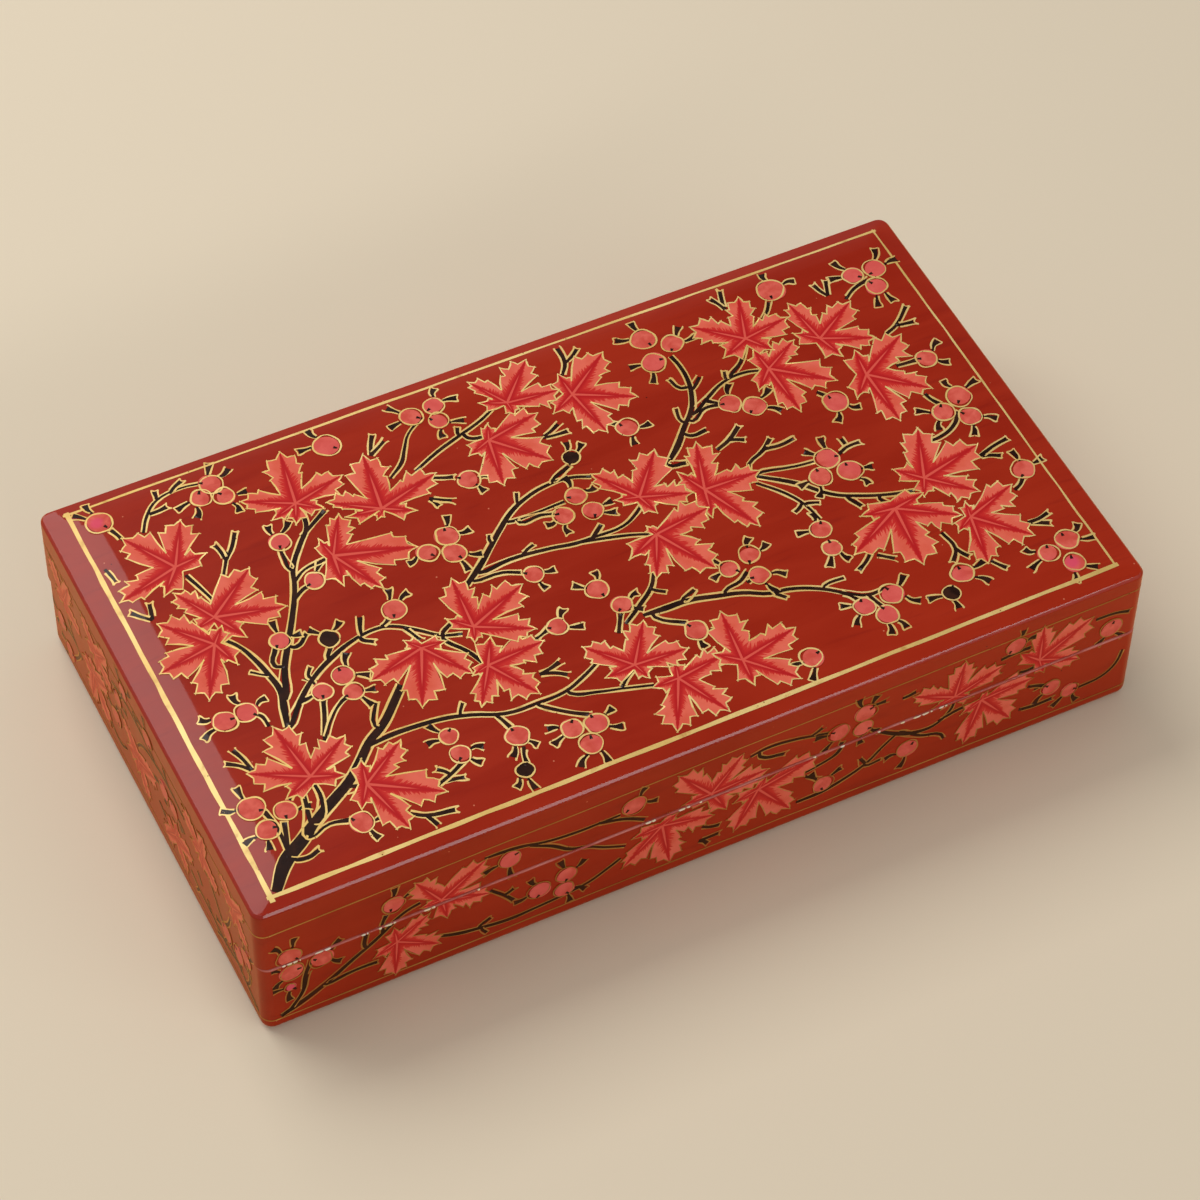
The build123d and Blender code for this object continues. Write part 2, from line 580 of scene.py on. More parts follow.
def makeBaseSkin():
    rim = skins["rim"]
    bm = block(skins["baseHalf"], 0, rim, skins["baseShift"])
    hollow(bm, levelFace(bm, 1), rim, rim - skins["rimSkin"], skins["baseInside"])
    upright = [edge for edge in bm.edges if risen(edge) > rim - 0.01]
    bevelEdges(bm, upright, skins["cornerRadius"], 7)
    underside = [edge for edge in bm.edges if all(end.co.z < 0.001 for end in edge.verts)]
    bevelEdges(bm, underside, skins["bottomRadius"], 6)
    bevelEdges(bm, rimEdges(bm, rim, skins["mouthHalf"]), skins["baseRimRadius"], 3)
    finishSkin(bm, "base_lacquered_skin", "base", "base_papier_mache_shell",
               lambda face: face.normal.z < -0.98 and face.calc_center_median().z < 1
               or face.normal.z > 0.98)


def makeLidSkin():
    half, rim = skins["lidHalf"], skins["lidRim"]
    side = crownHeight(half[0], 0)
    bm = block(half, rim, side, skins["lidShift"])
    face = levelFace(bm, 1)
    for ring in range(skins["crownRings"] + 1):
        inset = skins["shoulder"] + skins["crownReach"] * ring / skins["crownRings"]
        inner = (half[0] - inset, half[1] - inset)
        face = pushFace(bm, face, inner, crownHeight(inner[0], 0))
    hollow(bm, levelFace(bm, -1), rim, rim + skins["rimSkin"], skins["lidInside"])
    upright = [edge for edge in bm.edges
               if risen(edge) > 17 and all(abs(end.co.x) > 99 for end in edge.verts)]
    bevelEdges(bm, upright, skins["cornerRadius"], 7)
    bevelEdges(bm, rimEdges(bm, side, (half[0] - 3.6, half[1] - 3.6)), skins["easing"], 1)

    def isEased(edge):
        # both edges of the flat that was rubbed along the top
        ends = [end.co for end in edge.verts]
        return (all(side - skins["easing"] * 1.2 < end.z < side + 0.05 for end in ends)
                and 0.3 < edge.calc_face_angle(0) < 1.2 and risen(edge) < 0.1
                and all(max(abs(end.x) - half[0], abs(end.y) - half[1]) > -1.4 for end in ends)
                and any(0.4 < face.normal.z < 0.9 for face in edge.link_faces))

    bevelEdges(bm, [edge for edge in bm.edges if isEased(edge)], skins["easingRound"], 3)
    bevelEdges(bm, rimEdges(bm, rim, skins["mouthHalf"]), skins["lidRimRadius"], 3)
    for axis in (Vector((1, 0, 0)), Vector((0, 1, 0))):
        for inset in skins["cornerCuts"]:
            for sign in (-1, 1):
                place = axis * sign * (axis.dot((*half, 0)) - inset)
                sliced(bm, place, axis, 0.001)
    finishSkin(bm, "lid_lacquered_skin", "lid", "lid_papier_mache_shell",
               lambda face: face.normal.z < -0.98)


makeBaseSkin()
makeLidSkin()
print("papier mache skins made")


# Painted layers. Each is a thin closed film drawn flat in millimetres, u to the right and
# v up as its face is looked at, and then laid on the lid's top or on a side.

films = {  # height of each layer's upper face above the skin
    "edging": 0.022,
    "dark": 0.034,  # over the gold lines, so that few cross a fork
    "late": 0.041,
    "leaf": 0.048,
    "leafStep": 0.024,  # leaves of one spray overlap in three steps
    "outline": 0.012,  # over its own leaf
    "berry": 0.12,
    "ring": 0.132,
    "accent": 0.142,
    "sink": 0.03,  # how deep a film reaches into the skin
    "unlevel": 0.006,  # no two films that cross lie quite level
}

lineWork = {
    "gap": (0.08, 0.27),  # from a dark stroke's edge to the middle of the gold line along it
    "edging": (0.34, 0.08),  # widths; that of the edging grows with the stroke it follows
    "outline": 0.34,
    "ring": 0.34,
    "tick": 0.3,
    "wander": 0.1,
    "fineWander": 0.06,
    "overshoot": 0.32,
    "spring": (0.25, 0.8),  # how far from its branch a gold line starts, and one that runs over it
    "over": 0.3,  # share of the twigs' gold lines that run on over the branch
    "unevenDark": 0.14,  # how much a stroke's width varies
    "unevenGold": 0.35,
    "unevenRing": 0.4,
    "unevenRule": (0.2, 0.25),  # of the long lines on the top and the sides
    "ticked": 0.75,  # share of the twigs' ends that are closed with a gold tick
}

branchForm = {
    "limb": (0.76, 0.7),  # share of the given widths at its start and end
    "root": 0.6,  # it comes out of its fork or leaf narrow
    "twig": (0.78, 0.62),  # widths
    "thorn": (0.8, 0.5),
    "sepal": (0.45, 0.75, 0.95),
    "twigFlare": (0.7, 1.2),  # how far the gold lines spread at a cut end
    "thornFlare": 0.6,
    "sepalFlare": (0.35, 0.8),
    "cutWidth": 0.55,  # the dark widens with them
    "limbReach": 1.3,  # a stroke that starts so near a limb is carried on to the limb's middle
    "twigReach": 2.3,
    "joined": 0.4,  # and so near, it is there already
}

leafForm = {
    "sinus": 0.36,  # depth of the cut between two main lobes, from the hub
    "smallSinus": 0.54,
    "stemSinus": 0.28,
    "stemGap": 2.1,  # angle between lobes past which the stem comes in there
    "small": (0.68, 9.5),  # shorter than this share of the longest lobe, and than this length
    "halfWidth": (0.27, 0.34),  # of a main lobe, against its length
    "smallHalfWidth": (0.34, 0.42),
    "teeth": ((0.7, 1.0), (0.715, 0.64), (0.875, 0.68), (0.87, 0.27)),
    "lowTeeth": ((0.52, 0.83), (0.545, 0.58)),
    "lowTeethShare": 0.7,
    "lowTeethGap": 1.05,  # they need this much room
    "smallTeeth": ((0.68, 1.0), (0.7, 0.45)),
    "smallVein": 0.6,  # the lower, the broader the strokes painted on a small lobe
}

berryForm = {
    "disc": 0.97,  # against its given radius
    "sides": 20,
    "swell": 0.045,  # none is quite round
    "ring": 1.01,
    "ringPoints": 9,
    "ringShift": 0.42,  # the ring isn't quite on the berry
    "eye": 0.55,  # its place from the middle towards the stem
    "eyeLength": 0.9,
    "eyeWidths": (0.7, 0.4),
    "sepalTurn": (0.35, 0.75),
    "sepalLength": (2.4, 3.6),
    "neighbour": 7.5,  # the sepals turn away from berries so near
}


def jitter(amount):
    return hand.uniform(-amount, amount)


def polar(angle, length):
    return Vector((math.cos(angle), math.sin(angle))) * length


def turned(vector):
    # a quarter turn to the left
    return Vector((-vector.y, vector.x))


def angleOf(vector):
    return math.atan2(vector.y, vector.x)


def uneven(width, amount):
    return width * (1 + jitter(amount))


def tapered(start, end, count):
    return [start + (end - start) * step / max(1, count - 1) for step in range(count)]


def pairs(numbers):
    return zip(numbers[::2], numbers[1::2])


def vectors(numbers, mirror=1):
    return [Vector((u * mirror, v)) for u, v in pairs(numbers)]


def pour(source, target):
    # adds one bmesh to another
    mesh = bpy.data.meshes.new("poured")
    source.to_mesh(mesh)
    source.free()
    target.from_mesh(mesh)
    bpy.data.meshes.remove(mesh)


def newCurve(depth):
    curve = bpy.data.curves.new("strokes", "CURVE")
    curve.dimensions = "3D"
    curve.bevel_depth = depth
    curve.bevel_resolution = 1
    curve.use_fill_caps = True
    return curve


def tubesOf(curve):
    holder = bpy.data.objects.new("strokes", curve)
    mesh = bpy.data.meshes.new_from_object(holder)
    tubes = bmesh.new()
    tubes.from_mesh(mesh)
    bmesh.ops.remove_doubles(tubes, verts=tubes.verts[:], dist=0.00001)
    for spare in (holder, curve, mesh):
        bpy.data.batch_remove([spare])
    return tubes


def strokeFilm(target, strokes, straight=False):
    # strokes are (height, points, widths, closed); straight ones keep their corners
    if not strokes:
        return
    curve = newCurve(1.0)
    curve.twist_mode = "Z_UP"
    curve.resolution_u = 4
    storey = 10.0  # each stroke is drawn on a level of its own, to tell its points apart
    for level, (_, points, widths, closed) in enumerate(strokes):
        spline = curve.splines.new("POLY" if straight else "BEZIER")
        knots = spline.points if straight else spline.bezier_points
        knots.add(len(points) - 1)
        spline.use_cyclic_u = closed
        for knot, point, width in zip(knots, points, widths):
            knot.radius = width / 2
            knot.co = (*point, level * storey, 1)[:len(knot.co)]
            if not straight:
                knot.handle_left_type = knot.handle_right_type = "AUTO"
    tubes = tubesOf(curve)
    for point in tubes.verts:  # the round tubes become flat films, a little undercut
        level = round(point.co.z / storey)
        above = point.co.z > level * storey - 0.001
        lift = films["unlevel"] * (level * 0.618 % 1)
        point.co.z = strokes[level][0] + lift if above else -films["sink"]
    pour(tubes, target)


def thicken(bm, height):
    # faces drawn at the film's height get a wall and an underside
    bm.normal_update()
    bmesh.ops.solidify(bm, geom=bm.faces[:], thickness=0.01)
    for point in bm.verts:
        if abs(point.co.z - height) > 0.005:
            point.co.z = -films["sink"]


def drawStroke(strokes, height, points, widths, closed=False, wander=lineWork["wander"]):
    moved = [(point[0] + jitter(wander), point[1] + jitter(wander)) for point in points]
    strokes.append((height, moved, widths, closed))


class paintedFace:
    # everything painted on one face, layer by layer
    def __init__(self, design, mirror=1, breadth=1.0):
        self.breadth = breadth  # of every gold line
        self.gold, self.outlines, self.edging, self.dark, self.accents = [], [], [], [], []
        self.leaves, self.berries, self.blackBerries = [], [], []
        self.limbs, self.stems = [], []
        for start, end, *numbers in design["limbs"]:
            self.limb(start, end, vectors(numbers, mirror))
        for numbers in design["twigs"]:
            self.twig(vectors(numbers, mirror))
        for numbers in design["thorns"]:
            self.thorn(vectors(numbers, mirror))
        for order, numbers in enumerate(design["leaves"]):
            hub, *tips = vectors(numbers, mirror)
            self.leaf(hub, tips, order)
        black = design.get("blackBerries", ())
        everyBerry = [(*vectors(berry[:2], mirror), berry[2], berry in black)
                      for berry in design["berries"] + black]
        for number, (place, radius, isBlack) in enumerate(everyBerry):
            others = [berry[0] for other, berry in enumerate(everyBerry) if other != number]
            self.berry(place, radius, isBlack, others)

    def branch(self, points, widths, flare=0.0):
        # a dark stroke between two gold lines, which spread at a cut end
        if len(points) == 2:
            middle = (points[0] + points[1]) / 2 + turned(points[1] - points[0]) * jitter(0.07)
            points = [points[0], middle, points[1]]
            widths = [widths[0], (widths[0] + widths[-1]) / 2, widths[-1]]
        last = len(points) - 1
        if flare:
            widths = [width * (1 + branchForm["cutWidth"] * (place / last) ** 2)
                      for place, width in enumerate(widths)]
        drawStroke(self.dark, films["dark"], points,
                   [uneven(width, lineWork["unevenDark"]) for width in widths])
        breadth = (lineWork["edging"][0] + lineWork["edging"][1] * widths[0]) * self.breadth
        reach = points[1] - points[0]
        ends = []
        for side in (-1, 1):
            over = bool(flare) and hand.random() < lineWork["over"]
            spring = min(0.4, lineWork["spring"][over] / reach.length)
            line = []
            for place, (point, width) in enumerate(zip(points, widths)):
                run = (points[min(last, place + 1)] - points[max(0, place - 1)]).normalized()
                out = turned(run) * side
                beside = point if place else points[0] + reach * spring
                line.append(beside + out * (width / 2 + hand.uniform(*lineWork["gap"])))
            if flare:
                line.append(points[-1] + run * flare * hand.uniform(0.3, 0.9)
                            + out * (widths[-1] / 2 + flare * hand.uniform(0.15, 0.5)))
                ends.append(line[-1])
            drawStroke(self.edging, films["late" if over else "edging"], line,
                       [uneven(breadth, lineWork["unevenGold"]) for _ in line],
                       wander=lineWork["fineWander"])
        if flare and hand.random() < lineWork["ticked"]:
            drawStroke(self.edging, films["edging"], (ends[0], points[-1] + run * 0.2, ends[1]),
                       [lineWork["tick"] * self.breadth] * 3, wander=0.08)

    def rooted(self, points, reach):
        feet = []
        for limb in self.limbs:
            for start, end in zip(limb, limb[1:]):
                foot, part = intersect_point_line(points[0], start, end)
                feet.append(start.lerp(end, min(1, max(0, part))))
        foot = min(feet, key=lambda foot: (foot - points[0]).length, default=points[0])
        isNear = branchForm["joined"] < (foot - points[0]).length < reach
        return [foot] + points if isNear else points

    def limb(self, start, end, points):
        points = self.rooted(points, branchForm["limbReach"])
        self.limbs.append(points)
        self.stems += points
        start, end = start * branchForm["limb"][0], end * branchForm["limb"][1]
        widths = [end + (start - end) * (1 - part) ** 2  # most of the taper comes early
                  for part in tapered(0, 1, len(points))]
        self.branch(points, [start * branchForm["root"]] + widths[1:])

    def twig(self, points):
        points = self.rooted(points, branchForm["twigReach"])
        self.stems += points
        self.branch(points, tapered(*branchForm["twig"], len(points)),
                    flare=hand.uniform(*branchForm["twigFlare"]))

    def thorn(self, points):
        points = self.rooted(points, branchForm["twigReach"])
        self.branch(points, tapered(*branchForm["thorn"], len(points)),
                    flare=branchForm["thornFlare"])

    def leaf(self, hub, tips, order):
        # three main lobes and the small ones, in order round the hub
        height = films["leaf"] + films["leafStep"] * (order % 3)
        lobes = sorted((math.atan2(tip.y - hub.y, tip.x - hub.x), (tip - hub).length)
                       for tip in tips)
        longest = max(length for _, length in lobes)
        share, limit = leafForm["small"]
        small = [length < share * longest and length < limit for _, length in lobes]
        gaps, sinuses = [], []
        for place, (angle, length) in enumerate(lobes):
            after = (place + 1) % len(lobes)
            gap = (lobes[after][0] - angle) % math.tau
            gaps.append(gap)
            cut = leafForm["smallSinus" if small[place] or small[after] else "sinus"]
            if small[place] and small[after] or gap > leafForm["stemGap"]:
                cut = leafForm["stemSinus"]
            direction = angle + gap / 2 + jitter(0.05)
            depth = min(length, lobes[after][1]) * cut * (1 + jitter(0.08))
            sinuses.append(hub + polar(direction, depth))
        bundle = []
        for place, (angle, length) in enumerate(lobes):
            along, across = polar(angle, length), polar(angle + math.pi / 2, length)
            edge = []
            for side, gap in ((-1, gaps[place - 1]), (1, gaps[place])):
                widest = hand.uniform(*leafForm["smallHalfWidth" if small[place] else "halfWidth"])
                widest = min(widest, 0.67 * math.tan(min(gap / 2 - 0.05, 1.2)))
                teeth = leafForm["smallTeeth" if small[place] else "teeth"]
                if (not small[place] and hand.random() < leafForm["lowTeethShare"]
                        and gap > leafForm["lowTeethGap"]):
                    teeth = leafForm["lowTeeth"] + teeth
                edge.append([hub + along * (u + jitter(0.015))
                             + across * (side * widest * v * (1 + jitter(0.1)))
                             for u, v in teeth])
            tip = hub + along
            ring = ([hub, sinuses[place - 1]] + edge[0] + [tip] + edge[1][::-1] + [sinuses[place]])
            bundle.append((ring, along, across, leafForm["smallVein"] if small[place] else 1.0))
            for start, teethLine in ((sinuses[place - 1], edge[0]), (sinuses[place], edge[1])):
                self.outline([start] + teethLine + [tip], height + films["outline"])
        self.leaves.append((order, hub, bundle, height))

    def outline(self, points, height):
        # every side of a tooth is its own short stroke, run a little past the tooth's tip
        width = lineWork["outline"] * self.breadth
        for place, (start, end) in enumerate(zip(points, points[1:])):
            if place % 2:  # drawn outwards, to the tooth's point
                start, end = end, start
            reach = end - start
            if reach.length < 0.05:
                continue
            past = reach.normalized() * lineWork["overshoot"] * hand.uniform(0.4, 1.2)
            bow = turned(reach) * jitter(0.05)
            line = (start - past * 0.3, (start + end) / 2 + bow, end + past)
            drawStroke(self.outlines, height, line,
                       (width * 0.85, uneven(width, lineWork["unevenGold"]), width * 0.6),
                       wander=0.08)

    def berry(self, place, radius, isBlack, others):
        kind = self.blackBerries if isBlack else self.berries
        kind.append((place, radius * berryForm["disc"]))
        towards = min((point - place for point in self.stems), key=lambda reach: reach.length)
        towards = towards.normalized() if towards.length > 0.1 else Vector((1, 0))
        # ring, drawn in one go
        centre = place + Vector((jitter(berryForm["ringShift"]), jitter(berryForm["ringShift"])))
        start, count = hand.uniform(0, math.tau), berryForm["ringPoints"]
        loop = [centre + polar(start + step * math.tau / count,
                               radius * (berryForm["ring"] + jitter(0.08)))
                for step in range(count)]
        width = lineWork["ring"] * self.breadth
        drawStroke(self.gold, films["ring"], loop,
                   [uneven(width, lineWork["unevenRing"]) for _ in loop],
                   closed=True, wander=lineWork["fineWander"])
        # eye on the stem's side
        eye = place + towards * radius * berryForm["eye"]
        lash = polar(angleOf(towards) + jitter(0.6), berryForm["eyeLength"])
        drawStroke(self.accents, films["accent"], (eye, eye + lash), berryForm["eyeWidths"],
                   wander=0.05)
        # two sepals on the free side
        away = -towards
        for other in others:
            if (place - other).length < berryForm["neighbour"]:
                away += (place - other).normalized() * 1.2
        turns = (hand.uniform(*berryForm["sepalTurn"]), -hand.uniform(*berryForm["sepalTurn"]))
        for turn in turns:
            direction = angleOf(away) + turn
            root = place + polar(direction, radius * 0.98)
            length = hand.uniform(*berryForm["sepalLength"])
            end = root + polar(direction + jitter(0.35), length)
            middle = (root + end) / 2 + polar(direction + math.pi / 2, jitter(0.45))
            self.branch([root, middle, end], branchForm["sepal"],
                        flare=hand.uniform(*branchForm["sepalFlare"]))

    # The collected strokes become films

    def leafFilm(self, wanted):
        bm = bmesh.new()
        for name in ("vein", "bristles"):
            bm.loops.layers.uv.new(name)
        for order, hub, bundle, height in self.leaves:
            if order not in wanted:
                continue
            leaf = bmesh.new()
            vein, bristles = (leaf.loops.layers.uv.new(name) for name in ("vein", "bristles"))
            knots = {}

            def knot(point):
                # neighbouring lobes share their points
                key = (round(point.x, 4), round(point.y, 4))
                if key not in knots:
                    knots[key] = leaf.verts.new((*point, height))
                return knots[key]

            for ring, along, across, narrow in bundle:
                face = leaf.faces.new([knot(point) for point in ring])
                shift = Vector((hand.uniform(0, 90), hand.uniform(0, 90)))
                for loop in face.loops:
                    offset = loop.vert.co.xy - hub
                    loop[vein].uv = (offset.dot(along) / along.length_squared,
                                     offset.dot(across) / across.length_squared * narrow)
                    loop[bristles].uv = shift
            thicken(leaf, height)
            pour(leaf, bm)
        return bm

    def berryFilm(self, berries):
        bm = bmesh.new()
        for place, radius in berries:
            ring = bmesh.ops.create_circle(bm, cap_ends=True, radius=radius,
                                           segments=berryForm["sides"])["verts"]
            lean, phase = jitter(0.05), hand.uniform(0, math.tau)
            for point in ring:
                swell = 1 + berryForm["swell"] * math.sin(2 * angleOf(point.co) + phase) + lean
                point.co = (point.co.x * swell + place.x, point.co.y * swell + place.y,
                            films["berry"])
        thicken(bm, films["berry"])
        return bm

    def strokesFilm(self, curved, straight=()):
        bm = bmesh.new()
        strokeFilm(bm, curved)
        strokeFilm(bm, straight, straight=True)
        return bm

    def darkFilm(self):
        bm = self.strokesFilm(self.dark + self.accents)
        if self.blackBerries:
            pour(self.berryFilm(self.blackBerries), bm)
        return bm


# The lid's top. A leaf is its hub, the tips of its three main lobes and of its small ones. A
# limb is thick at its first number and thin at its second. A berry's last number is its radius.

